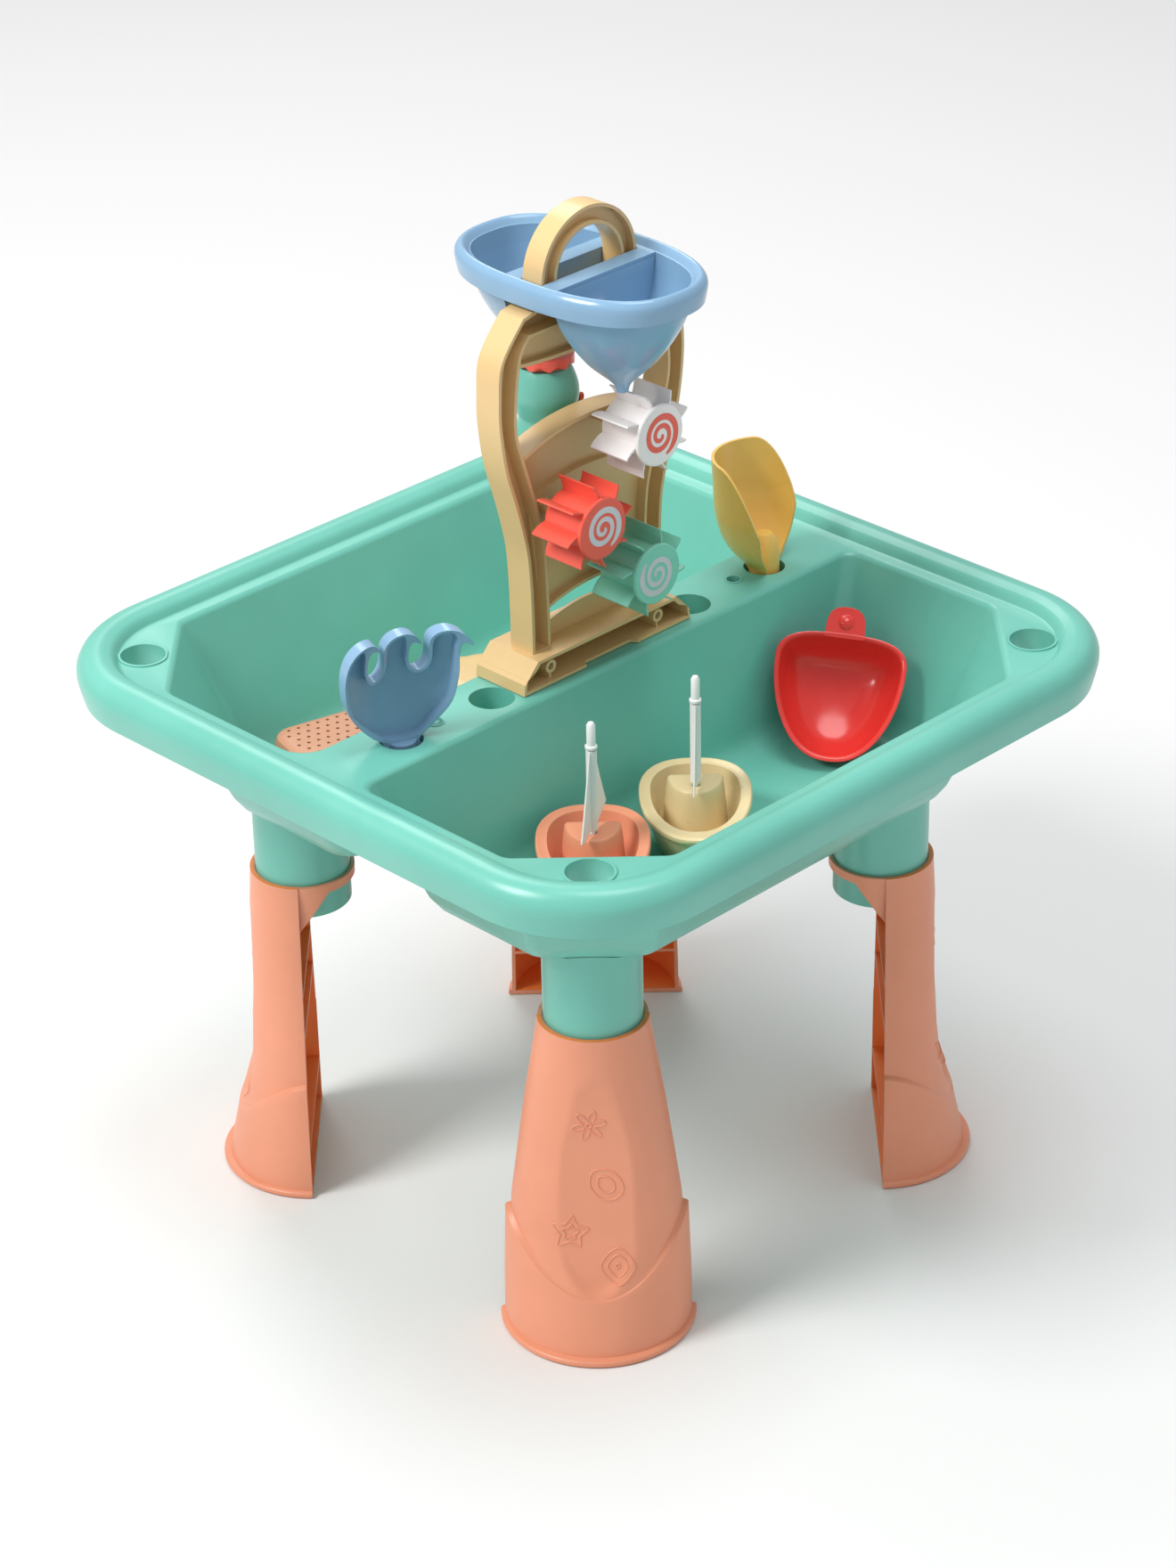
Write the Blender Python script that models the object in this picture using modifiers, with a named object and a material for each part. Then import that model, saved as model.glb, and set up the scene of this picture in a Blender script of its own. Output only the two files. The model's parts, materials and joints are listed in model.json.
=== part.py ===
"""Sand and water table: two-basin tub on four legs, with a wheel tower, funnel tray and loose toys.

Metres, +Z up, floor at z = 0, the divider between the basins runs along X.
"""

import math

import bmesh
import bpy
from mathutils import Matrix, Vector

# ---------------------------------------------------------------- driving sizes
TUB_HALF = 0.240
TUB_CORNER = 0.085
DECK_Z = 0.353
DECK_THICK = 0.0025
RIM_TOP_Z = 0.361
RIM_LOW_Z = 0.333
FLOOR_Z = 0.262
FLOOR_UNDER_Z = 0.2595
WALL = 0.0025
WALL_DRAFT = 0.4231
BASIN_HALF = 0.2060
CHAMFER_SUM = 0.3475
CHAMFER_DRAFT = 0.613
GAP = 0.0003

LEG_XY = 0.125
LEG_TOP_Z = 0.209
LEG_WALL = 0.0024
LEG_CUT_U = 0.0012
LEG_POINTS = 10
SLEEVE_R = 0.0291
SLEEVE_LOW_Z = 0.1866

CORNER_HOLE_XY = 0.187
CORNER_HOLE_R = 0.0135
CUP_X = 0.083
CUP_Y = -0.004
CUP_R = 0.0136
SOCKET_X = 0.153
SOCKET_Y = -0.002
SOCKET_R = 0.0128
DIVIDER_SCREW_X = 0.126
DIVIDER_SCREW_Y = -0.001

COLUMN_Y = 0.0092
ARCH_Y = 0.0077
ARCH_R = 0.038
ARCH_INNER_R = 0.026
ARCH_Z = 0.5965
FRAME_TOP_Z = 0.586
WEB_FRONT_Y = 0.001
WEB_BACK_Y = 0.003

TRAY_HALF_X = 0.0505
TRAY_HALF_Y = 0.0814
TRAY_TOP_Z = 0.602
NOZZLE_Y = 0.0325
TRAY_POWER = 2.5

WHEEL_FRONT_Y = -0.0470
WHEEL_BACK_Y = -0.0180
WHEELS = {
    "white": (0.013, 0.502, 10.0),
    "red": (-0.0345, 0.4596, 0.0),
    "teal": (0.0094, 0.415, 24.0),
}

BOATS = {
    "coral": (-0.0831, -0.0854, -45.0),
    "cream": (-0.0019, -0.0899, -45.0),
}

COLOURS = {
    "teal": (0.150, 0.500, 0.410),
    "sticker_teal": (0.110, 0.520, 0.400),
    "coral": (0.780, 0.300, 0.175),
    "cream": (0.740, 0.510, 0.240),
    "blue": (0.160, 0.300, 0.450),
    "red": (0.700, 0.040, 0.035),
    "orange_red": (0.860, 0.085, 0.045),
    "white": (0.800, 0.790, 0.820),
    "yellow": (0.780, 0.480, 0.110),
    "peach": (0.700, 0.330, 0.190),
    "steel": (0.550, 0.550, 0.560),
}


# ---------------------------------------------------------------- scene helpers
def clear_scene():
    for obj in list(bpy.data.objects):
        bpy.data.objects.remove(obj, do_unlink=True)
    for group in list(bpy.data.collections):
        bpy.data.collections.remove(group)


def new_collection(name):
    group = bpy.data.collections.new(name)
    bpy.context.scene.collection.children.link(group)
    return group


clear_scene()
PARTS = new_collection("sand_and_water_table")
CUTTERS = new_collection("cutters")
CUTTERS.hide_render = True


def material(slot, roughness=0.35, metallic=0.0):
    found = bpy.data.materials.get(slot)
    if found:
        return found
    made = bpy.data.materials.new(slot)
    made.use_nodes = True
    shader = made.node_tree.nodes["Principled BSDF"]
    shader.inputs["Base Color"].default_value = (*COLOURS[slot], 1.0)
    shader.inputs["Roughness"].default_value = roughness
    shader.inputs["Metallic"].default_value = metallic
    return made


def tidy_mesh(mesh):
    work = bmesh.new()
    work.from_mesh(mesh)
    bmesh.ops.remove_doubles(work, verts=work.verts, dist=2e-6)
    bmesh.ops.dissolve_degenerate(work, edges=work.edges, dist=1e-6)
    bmesh.ops.recalc_face_normals(work, faces=work.faces)
    work.to_mesh(mesh)
    work.free()
    return mesh


def part_object(name, mesh, slot, at=(0, 0, 0), turn_deg=0.0, sharp=35):
    """A visible node with its own material; the mesh is already in the node's own frame."""
    obj = bpy.data.objects.new(name, mesh)
    PARTS.objects.link(obj)
    obj.location = at
    obj.rotation_euler = (0, 0, math.radians(turn_deg))
    mesh.materials.clear()
    metallic = 1.0 if slot == "steel" else 0.0
    mesh.materials.append(material(slot, 0.3 if metallic else 0.35, metallic))
    mesh.shade_smooth()
    mesh.set_sharp_from_angle(angle=math.radians(sharp))
    return obj


def helper(name, mesh, matrix=None):
    """A wire helper used by a Boolean, never rendered."""
    obj = bpy.data.objects.new(name, mesh)
    CUTTERS.objects.link(obj)
    obj.hide_render = True
    obj.display_type = "WIRE"
    if matrix is not None:
        obj.matrix_world = matrix
    return obj


def combine(name, steps):
    """Joins or cuts meshes in order with exact Booleans and returns the resulting mesh."""
    base = helper(name + "_base", steps[0][1])
    for count, (operation, mesh) in enumerate(steps[1:]):
        other = helper(f"{name}_{operation.lower()}_{count}", mesh)
        modifier = base.modifiers.new(f"{operation}_{count}", "BOOLEAN")
        modifier.operation = operation
        modifier.solver = "EXACT"
        modifier.object = other
    bpy.context.view_layer.update()
    graph = bpy.context.evaluated_depsgraph_get()
    mesh = bpy.data.meshes.new_from_object(base.evaluated_get(graph))
    base.modifiers.clear()
    return tidy_mesh(mesh)


def shift(x, y, z):
    return Matrix.Translation((x, y, z))


def turn(degrees, axis):
    return Matrix.Rotation(math.radians(degrees), 4, axis)


# ---------------------------------------------------------------- shape helpers
def loft(name, rings, around=False):
    """Closed body through rings of equal count. around=True joins the last ring to the first."""
    count = len(rings[0])
    points = [Vector(p) for ring in rings for p in ring]
    faces = []
    last = len(rings) if around else len(rings) - 1
    for row in range(last):
        a = row * count
        b = ((row + 1) % len(rings)) * count
        for i in range(count):
            j = (i + 1) % count
            faces.append((a + i, a + j, b + j, b + i))
    if not around:
        faces.append(tuple(range(count))[::-1])
        faces.append(tuple((len(rings) - 1) * count + i for i in range(count)))
    mesh = bpy.data.meshes.new(name)
    mesh.from_pydata(points, [], faces)
    return tidy_mesh(mesh)


def shell(name, grid, thickness, offset=0.0, closed=False):
    """Open surface given as rows of points, thickened with Solidify."""
    rows = len(grid)
    cols = len(grid[0])
    points = [Vector(p) for row in grid for p in row]
    faces = []
    for r in range(rows - 1):
        for c in range(cols if closed else cols - 1):
            d = (c + 1) % cols
            faces.append((r * cols + c, r * cols + d, (r + 1) * cols + d, (r + 1) * cols + c))
    mesh = bpy.data.meshes.new(name)
    mesh.from_pydata(points, [], faces)
    work = bmesh.new()
    work.from_mesh(mesh)
    bmesh.ops.remove_doubles(work, verts=work.verts, dist=1e-6)
    bmesh.ops.recalc_face_normals(work, faces=work.faces)
    work.to_mesh(mesh)
    work.free()
    obj = helper(name + "_sheet", mesh)
    modifier = obj.modifiers.new("thickness", "SOLIDIFY")
    modifier.thickness = thickness
    modifier.offset = offset
    modifier.use_even_offset = True
    bpy.context.view_layer.update()
    graph = bpy.context.evaluated_depsgraph_get()
    solid = bpy.data.meshes.new_from_object(obj.evaluated_get(graph))
    obj.modifiers.clear()
    return tidy_mesh(solid)


def turned(name, profile, steps=24, at=(0, 0, 0), along="Z"):
    """Profile of (radius, height) turned about an axis with a Screw modifier."""
    mesh = bpy.data.meshes.new(name + "_profile")
    points = [(r, 0.0, z) for r, z in profile]
    closed = profile[0][0] > 1e-6
    edges = [(i, i + 1) for i in range(len(points) - 1)]
    if closed:
        edges.append((len(points) - 1, 0))
    mesh.from_pydata(points, edges, [])
    obj = helper(name + "_turned", mesh)
    modifier = obj.modifiers.new("screw", "SCREW")
    modifier.steps = steps
    modifier.render_steps = steps
    modifier.use_merge_vertices = True
    modifier.merge_threshold = 0.00001
    bpy.context.view_layer.update()
    graph = bpy.context.evaluated_depsgraph_get()
    solid = bpy.data.meshes.new_from_object(obj.evaluated_get(graph))
    obj.modifiers.clear()
    if along == "Y":
        solid.transform(turn(90, "X"))
    if along == "X":
        solid.transform(turn(90, "Y"))
    solid.transform(shift(*at))
    return tidy_mesh(solid)


def disc_profile(radius, low, high):
    return [(0, high), (radius, high), (radius, low), (0, low)]


def tube_profile(outer, inner, low, high):
    return [(outer, high), (outer, low), (inner, low), (inner, high)]


def plate(name, outlines, low, high, upright=False):
    """Flat outlines filled as a 2D curve and extruded from low to high.

    upright: the outline is (x, z) and the extrusion runs along Y.
    """
    curve = bpy.data.curves.new(name, "CURVE")
    curve.dimensions = "2D"
    curve.fill_mode = "BOTH"
    curve.extrude = (high - low) / 2
    for outline in outlines:
        spline = curve.splines.new("POLY")
        spline.points.add(len(outline) - 1)
        for point, (a, b) in zip(spline.points, outline):
            point.co = (a, b, 0, 1)
        spline.use_cyclic_u = True
    obj = bpy.data.objects.new(name + "_outline", curve)
    CUTTERS.objects.link(obj)
    bpy.context.view_layer.update()
    graph = bpy.context.evaluated_depsgraph_get()
    mesh = bpy.data.meshes.new_from_object(obj.evaluated_get(graph))
    bpy.data.objects.remove(obj, do_unlink=True)
    if upright:
        mesh.transform(shift(0, (low + high) / 2, 0) @ turn(90, "X"))
    else:
        mesh.transform(shift(0, 0, (low + high) / 2))
    return tidy_mesh(mesh)


def box(name, low, high):
    mesh = bpy.data.meshes.new(name)
    work = bmesh.new()
    bmesh.ops.create_cube(work, size=1.0)
    size = [h - l for l, h in zip(low, high)]
    centre = [(h + l) / 2 for l, h in zip(low, high)]
    bmesh.ops.scale(work, vec=size, verts=work.verts)
    bmesh.ops.translate(work, vec=centre, verts=work.verts)
    work.to_mesh(mesh)
    work.free()
    return mesh


def rounded_corners(corners, radii, steps):
    """Polygon with each corner replaced by an arc of steps + 1 points."""
    result = []
    count = len(corners)
    for i in range(count):
        corner = Vector(corners[i])
        before = (Vector(corners[i - 1]) - corner).normalized()
        after = (Vector(corners[(i + 1) % count]) - corner).normalized()
        half = before.angle(after) / 2
        reach = radii[i] / math.tan(half)
        start = corner + before * reach
        centre = corner + (before + after).normalized() * (radii[i] / math.sin(half))
        first = start - centre
        last = corner + after * reach - centre
        sweep = first.angle_signed(last)
        for k in range(steps + 1):
            angle = -sweep * k / steps
            c, s = math.cos(angle), math.sin(angle)
            spot = centre + Vector((first.x * c - first.y * s, first.x * s + first.y * c))
            result.append((spot.x, spot.y))
    return result


def arc(centre, radius, start_deg, end_deg, steps):
    spots = []
    for k in range(steps + 1):
        angle = math.radians(start_deg + (end_deg - start_deg) * k / steps)
        spots.append((centre[0] + radius * math.cos(angle), centre[1] + radius * math.sin(angle)))
    return spots


def offset_polygon(outline, distance):
    """Moves every edge of a closed outline inward (anticlockwise outline, positive distance)."""
    count = len(outline)
    result = []
    for i in range(count):
        here = Vector(outline[i])
        before = (here - Vector(outline[i - 1])).normalized()
        after = (Vector(outline[(i + 1) % count]) - here).normalized()
        normal_a = Vector((-before.y, before.x))
        normal_b = Vector((-after.y, after.x))
        middle = (normal_a + normal_b).normalized()
        reach = distance / max(0.35, middle.dot(normal_a))
        spot = here + middle * reach
        result.append((spot.x, spot.y))
    return result


def interpolate(table, at):
    """Straight-line interpolation in a list of (position, value), position rising."""
    if at <= table[0][0]:
        return table[0][1]
    for (a, va), (b, vb) in zip(table, table[1:]):
        if at <= b:
            return va + (vb - va) * (at - a) / (b - a)
    return table[-1][1]


# ---------------------------------------------------------------- tub
def rounded_square(inset, z, steps=5):
    half = TUB_HALF - inset
    corners = [(half, -half), (half, half), (-half, half), (-half, -half)]
    outline = rounded_corners(corners, [TUB_CORNER - inset] * 4, steps)
    return [(x, y, z) for x, y in outline]


def rim_and_deck():
    outer = [(0.0030, 0.3330), (0.0000, 0.3470), (0.0014, 0.3540), (0.0062, 0.3593)]
    outer += [(0.0135, RIM_TOP_Z), (0.0205, 0.3588), (0.0250, DECK_Z)]
    under = [(0.0270, DECK_Z - DECK_THICK), (0.0190, 0.3560), (0.0135, 0.3584), (0.0074, 0.3568)]
    under += [(0.0028, 0.3470), (0.0055, RIM_LOW_Z)]
    rings = [rounded_square(inset, z) for inset, z in under + outer]
    return loft("rim_and_deck", rings)


def basin_ring(side, z, spread=0.0, drop=None):
    """Plan outline of one basin at height z; spread moves the walls outward."""
    down = DECK_Z - (z if drop is None else drop)
    half = BASIN_HALF - WALL_DRAFT * down + spread
    slope_sum = CHAMFER_SUM - CHAMFER_DRAFT * down + spread * 1.4142
    if side > 0:
        near = 0.0235 + 0.074 * down - spread
        near_radius = 0.018
    else:
        near = 0.0255 + 0.185 * down - spread
        near_radius = 0.010
    cross = slope_sum - half
    corners = [(-half, near), (half, near), (half, cross), (cross, half), (-cross, half), (-half, cross)]
    radii = [near_radius, near_radius, 0.012, 0.012, 0.012, 0.012]
    outline = rounded_corners(corners, radii, 2)
    return [(x, y * side, z) for x, y in outline]


def basin_inner(side):
    rings = [
        basin_ring(side, 0.3600, 0.0035, DECK_Z),
        basin_ring(side, 0.3534, 0.0036),
        basin_ring(side, 0.3512),
        basin_ring(side, 0.2745),
        basin_ring(side, 0.2670, -0.0020),
        basin_ring(side, 0.2632, -0.0060),
        basin_ring(side, FLOOR_Z, -0.0110, 0.2632),
    ]
    return loft(f"basin_inner_{side}", rings)


def basin_outer(side, grow=0.0, name="outer"):
    rings = [
        basin_ring(side, 0.3515, WALL + grow),
        basin_ring(side, 0.2740, WALL + grow),
        basin_ring(side, 0.2655, WALL - 0.0022 + grow),
        basin_ring(side, 0.2612 - grow, WALL - 0.0065 + grow),
        basin_ring(side, FLOOR_UNDER_Z - grow, WALL - 0.0120 + grow, 0.2612),
    ]
    return loft(f"basin_{name}_{side}", rings)


def build_tub():
    steps = [("BASE", rim_and_deck())]
    for side in (1, -1):
        steps.append(("UNION", basin_outer(side)))
    for sx in (1, -1):
        for sy in (1, -1):
            spot = (sx * CORNER_HOLE_XY, sy * CORNER_HOLE_XY, 0)
            collar = disc_profile(CORNER_HOLE_R + 0.0016, 0.339, DECK_Z + 0.0009)
            steps.append(("UNION", turned(f"corner_collar_{sx}{sy}", collar, 16, spot)))
    for side in (1, -1):
        cup = disc_profile(CUP_R + 0.002, 0.333, DECK_Z - 0.001)
        steps.append(("UNION", turned(f"cup_{side}", cup, 16, (side * CUP_X, CUP_Y, 0))))
        socket = disc_profile(SOCKET_R + 0.002, 0.324, DECK_Z - 0.001)
        steps.append(("UNION", turned(f"socket_{side}", socket, 16, (side * SOCKET_X, SOCKET_Y, 0))))
        boss = disc_profile(0.0058, 0.340, DECK_Z + 0.0005)
        steps.append(("UNION", turned(f"boss_{side}", boss, 12, (side * DIVIDER_SCREW_X, DIVIDER_SCREW_Y,
            0))))
    for sx in (1, -1):
        for sy in (1, -1):
            spot = (sx * CORNER_HOLE_XY, sy * CORNER_HOLE_XY, 0)
            bore = disc_profile(CORNER_HOLE_R, 0.3302, 0.3583)
            steps.append(("DIFFERENCE", turned(f"corner_bore_{sx}{sy}", bore, 16, spot)))
    for side in (1, -1):
        cup = disc_profile(CUP_R, 0.3351, 0.3581)
        steps.append(("DIFFERENCE", turned(f"cup_bore_{side}", cup, 16, (side * CUP_X, CUP_Y, 0))))
        socket = disc_profile(SOCKET_R, 0.326, 0.358)
        steps.append(("DIFFERENCE", turned(f"socket_bore_{side}", socket, 16, (side * SOCKET_X, SOCKET_Y,
            0))))
        profile = [(0, 0.3577), (0.0042, 0.3577), (0.0042, 0.3470), (0.0022, 0.3466), (0.0022, 0.334), (0,
            0.334)]
        spot = (side * DIVIDER_SCREW_X, DIVIDER_SCREW_Y, 0)
        steps.append(("DIFFERENCE", turned(f"boss_bore_{side}", profile, 12, spot)))
    for side in (1, -1):
        steps.append(("DIFFERENCE", basin_inner(side)))
    part_object("tub", combine("tub", steps), "teal")


def build_divider_screws():
    profile = [(0, 0.3495), (0.0034, 0.3488), (0.0034, 0.3474), (0.0015, 0.3474), (0, 0.3360)]
    for name, side in (("divider_screw_right", 1), ("divider_screw_left", -1)):
        spot = (side * DIVIDER_SCREW_X, DIVIDER_SCREW_Y, 0)
        mesh = turned(name, profile, 8)
        part_object(name, mesh, "steel", spot)


# ---------------------------------------------------------------- legs
LEGS = {"front": (-1, -1), "left": (-1, 1), "right": (1, -1), "back": (1, 1)}


def build_sleeves():
    for name, (sx, sy) in LEGS.items():
        tube = turned(f"sleeve_{name}", tube_profile(SLEEVE_R, SLEEVE_R - 0.0022, SLEEVE_LOW_Z, 0.2655), 16)
        tube.transform(shift(sx * LEG_XY, sy * LEG_XY, 0))
        mesh = combine(f"sleeve_{name}", [("BASE", tube), ("DIFFERENCE", basin_outer(sy, GAP,
            f"trim_{name}"))])
        mesh.transform(shift(-sx * LEG_XY, -sy * LEG_XY, 0))
        part_object(f"leg_sleeve_{name}", mesh, "teal", (sx * LEG_XY, sy * LEG_XY, 0))


SIDE_WIDTH = [(0.0, 0.0525), (0.0845, 0.0505), (0.090, 0.0497), (0.153, 0.0412), (0.209, 0.0323)]
FRONT_REACH = [(0.0, 0.0500), (0.040, 0.0475), (0.060, 0.0440), (0.078, 0.0405), (0.110, 0.0390)]
FRONT_REACH += [(0.150, 0.0360), (0.175, 0.0345), (0.209, 0.0323)]
PANEL_REACH = [(0.0, 0.0440), (0.045, 0.0430), (0.060, 0.0400), (0.078, 0.0370), (0.110, 0.0350)]
PANEL_REACH += [(0.137, 0.0335), (0.185, 0.0335)]
SKIRT_WIDTH = [(0.0, 0.0560), (0.030, 0.0557), (0.0505, 0.0550), (0.080, 0.0540)]
SKIRT_REACH = [(0.0, 0.0565), (0.0175, 0.0530), (0.0355, 0.0490), (0.080, 0.0420)]


def leg_point(z, angle, skirt, inset):
    """Point of the leg surface: angle 0 is straight outward, +-90 degrees the two sides."""
    width = interpolate(SKIRT_WIDTH if skirt else SIDE_WIDTH, z) - inset
    reach = interpolate(SKIRT_REACH if skirt else FRONT_REACH, z) - inset
    u = LEG_CUT_U + (reach - LEG_CUT_U) * math.cos(angle)
    v = width * math.sin(angle)
    if not skirt and 0.030 < z < 0.185:
        half = 0.031 * math.sqrt(max(0.0, 1 - ((z - 0.112) / 0.073) ** 2))
        if abs(v) < half:
            u = min(u, interpolate(PANEL_REACH, z) - inset)
    return (u, v, z)


def leg_ring(z, skirt=False, inner=0.0):
    angles = [math.radians(-90 + 180 * k / LEG_POINTS) for k in range(LEG_POINTS + 1)]
    ring = [leg_point(z, a, skirt, inner) for a in angles]
    ring += [leg_point(z, a, skirt, inner + LEG_WALL) for a in reversed(angles)]
    return ring


def skirt_border(angle):
    return 0.0395 + 0.0390 * math.sin(angle) ** 2


def border_ring(skirt, lift):
    angles = [math.radians(-90 + 180 * k / LEG_POINTS) for k in range(LEG_POINTS + 1)]
    ring = [leg_point(skirt_border(a) + lift, a, skirt, 0.0) for a in angles]
    for a in reversed(angles):
        spot = leg_point(skirt_border(a) - 0.0024, a, True, LEG_WALL)
        other = leg_point(skirt_border(a) - 0.0024 + lift, a, False, LEG_WALL)
        ring.append(spot if skirt else other)
    return ring


def foot_flange(z):
    angles = [math.radians(-90 + 180 * k / LEG_POINTS) for k in range(LEG_POINTS + 1)]
    ring = [(LEG_CUT_U + 0.0590 * math.cos(a), 0.0585 * math.sin(a), z) for a in angles]
    ring += [leg_point(z, a, True, LEG_WALL) for a in reversed(angles)]
    return ring


def leg_shell():
    rings = [foot_flange(0.0), foot_flange(0.0040), leg_ring(0.0041, True)]
    rings += [border_ring(True, 0.0), border_ring(False, 0.0012)]
    rings += [leg_ring(z) for z in (0.0850, 0.1120, 0.1480, 0.1850, LEG_TOP_Z)]
    return loft("leg_shell", rings)


def half_floor(name, low, high, skirt):
    angles = [math.radians(-90 + 180 * k / 8) for k in range(9)]
    rings = []
    for z in (low, high):
        rings.append([leg_point(z, a, skirt, 0.0012) for a in angles])
    return loft(name, rings)


def leg_mesh():
    steps = [("BASE", leg_shell())]
    hood = turned("hood", tube_profile(0.0319, 0.0288, 0.170, LEG_TOP_Z - 0.0001), 16)
    seat = turned("seat", tube_profile(0.0300, 0.0235, 0.1838, 0.1862), 16)
    slant = box("slant", (-0.08, -0.05, -0.08), (0.08, 0.05, 0.0))
    slant.transform(shift(LEG_CUT_U, 0, 0.178) @ turn(54, "Y"))
    steps.append(("UNION", combine("hood", [("BASE", hood), ("UNION", seat), ("DIFFERENCE", slant)])))
    steps.append(("UNION", turned("collar", tube_profile(0.0317, 0.0286, 0.2030, LEG_TOP_Z - 0.0002), 16)))
    for k, z in enumerate((0.137, 0.109)):
        steps.append(("UNION", half_floor(f"rib_{k}", z - 0.001, z + 0.001, False)))
    for k, (low, high) in enumerate(((0.0, 0.003), (0.0318, 0.0338))):
        steps.append(("UNION", half_floor(f"floor_{k}", low, high, True)))
    steps.append(("DIFFERENCE", turned("bore", disc_profile(SLEEVE_R + GAP, 0.1862, 0.2200), 16)))
    return combine("leg", steps)


def build_legs():
    mesh = leg_mesh()
    for name, (sx, sy) in LEGS.items():
        angle = math.degrees(math.atan2(sy, sx))
        part_object(f"leg_{name}", mesh, "coral", (sx * LEG_XY, sy * LEG_XY, 0), angle)


# ---------------------------------------------------------------- tower
FRAME_OUTER = [(0.371, 0.0537), (0.406, 0.0540), (0.434, 0.0555), (0.452, 0.0590), (0.469, 0.0635)]
FRAME_OUTER += [(0.494, 0.0710), (0.519, 0.0748), (0.538, 0.0750), (0.561, 0.0720), (0.583, 0.0545)]
FRAME_INNER = [(0.371, 0.0390), (0.407, 0.0395), (0.4405, 0.0414), (0.460, 0.0455), (0.479, 0.0510)]
FRAME_INNER += [(0.500, 0.0575), (0.515, 0.0613), (0.533, 0.0609), (0.559, 0.0569), (0.570, 0.0494)]


def frame_outline():
    """One closed loop: up the right outside, over the top, down the left, back along the inside."""
    right = [(x, z) for z, x in FRAME_OUTER]
    top = [(0.0395, FRAME_TOP_Z), (-0.0395, FRAME_TOP_Z)]
    left = [(-x, z) for z, x in reversed(FRAME_OUTER)]
    inner_left = [(-x, z) for z, x in FRAME_INNER]
    inner_right = [(x, z) for z, x in reversed(FRAME_INNER)]
    return right + top + left + inner_left + inner_right


def inner_edge_x(z):
    return interpolate(FRAME_INNER, z)


def arch_line(crown, end, half, x):
    return crown - (crown - end) * (x / half) ** 2


def panel_band(top, bottom, reach=0.0012, steps=8):
    """Outline between two arched lines, running a little way into the columns on both sides."""
    upper = []
    lower = []
    for k in range(steps + 1):
        t = -1 + 2 * k / steps
        z_top = arch_line(top[0], top[1], 1.0, t)
        z_low = arch_line(bottom[0], bottom[1], 1.0, t)
        upper.append((t * (inner_edge_x(z_top) + reach), z_top))
        lower.append((t * (inner_edge_x(z_low) + reach), z_low))
    return lower + upper[::-1]


def base_block(inset, name):
    low, high = 0.3535 + inset, 0.3720 - inset
    bottom_x, top_x = 0.0700 - inset, 0.0580 - inset
    front = -0.0180 if inset == 0 else -0.0300
    back = 0.0225 - inset
    rings = []
    for y in (front, back):
        outline = [(-bottom_x, low), (bottom_x, low), (bottom_x - 0.001, low + 0.007)]
        outline += [(top_x + 0.004, high - 0.004), (top_x, high), (-top_x, high)]
        outline += [(-top_x - 0.004, high - 0.004), (-bottom_x + 0.001, low + 0.007)]
        rings.append([(x, y, z) for x, z in outline])
    return loft(name, rings)


def build_tower():
    frame = frame_outline()
    steps = [("BASE", plate("frame", [frame], -COLUMN_Y, COLUMN_Y, True))]
    groove = offset_polygon(frame, 0.0021)
    steps.append(("DIFFERENCE", plate("groove_front", [groove], -0.012, WEB_FRONT_Y, True)))
    steps.append(("DIFFERENCE", plate("groove_back", [groove], WEB_BACK_Y, 0.012, True)))
    panel = panel_band((0.5070, 0.4950), (0.4030, 0.3960))
    steps.append(("UNION", plate("panel", [panel], 0.0022, 0.0042, True)))
    top = panel_band((0.5085, 0.4965), (0.5063, 0.4943))
    steps.append(("UNION", plate("panel_top", [top], -0.0072, COLUMN_Y - 0.0002, True)))
    bottom = panel_band((0.4042, 0.3972), (0.4020, 0.3950))
    steps.append(("UNION", plate("panel_bottom", [bottom], -0.0072, COLUMN_Y - 0.0004, True)))
    ledge = panel_band((0.4740, 0.4640), (0.4030, 0.3960))
    steps.append(("UNION", plate("panel_lower", [ledge], -0.0022, 0.0036, True)))
    hollow = panel_band((0.4715, 0.4615), (0.4050, 0.3982), -0.0016)
    steps.append(("DIFFERENCE", plate("panel_hollow", [hollow], -0.0002, 0.0100, True)))
    crossbar = panel_band((0.5720, 0.5690), (0.5480, 0.5520), 0.0010)
    steps.append(("UNION", plate("crossbar", [crossbar], 0.0004, 0.0026, True)))
    lip = panel_band((0.5502, 0.5542), (0.5480, 0.5520), 0.0010)
    steps.append(("UNION", plate("crossbar_lip", [lip], -0.0040, 0.0060, True)))
    steps.append(("UNION", base_block(0.0, "base_block")))
    steps.append(("DIFFERENCE", base_block(0.0020, "base_hollow")))
    notch = [(-0.020, -0.020), (0.026, -0.020), (0.022, -0.014), (-0.016, -0.014)]
    steps.append(("DIFFERENCE", plate("base_notch", [notch], 0.3500, 0.3560)))
    fin = panel_band((0.3865, 0.3780), (0.3706, 0.3706), 0.0013)
    steps.append(("UNION", plate("base_fin", [fin], 0.0014, 0.0036, True)))
    steps += arch_steps()
    steps += boss_steps()
    part_object("tower", combine("tower", steps), "cream", sharp=30)


def arch_steps():
    low = FRAME_TOP_Z - 0.0012
    outer = [(ARCH_R, low)] + arc((0, ARCH_Z), ARCH_R, 0, 180, 14) + [(-ARCH_R, low)]
    inner = [(-ARCH_INNER_R, low)] + arc((0, ARCH_Z), ARCH_INNER_R, 180, 0, 12) + [(ARCH_INNER_R, low)]
    ring = outer + inner
    groove = offset_polygon(ring, 0.0021)
    groove = [(x, max(z, FRAME_TOP_Z + 0.0010)) for x, z in groove]
    return [
        ("UNION", plate("arch", [ring], -ARCH_Y, ARCH_Y, True)),
        ("DIFFERENCE", plate("arch_groove_front", [groove], -0.012, -0.0025, True)),
        ("DIFFERENCE", plate("arch_groove_back", [groove], 0.0045, 0.012, True)),
    ]


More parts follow.
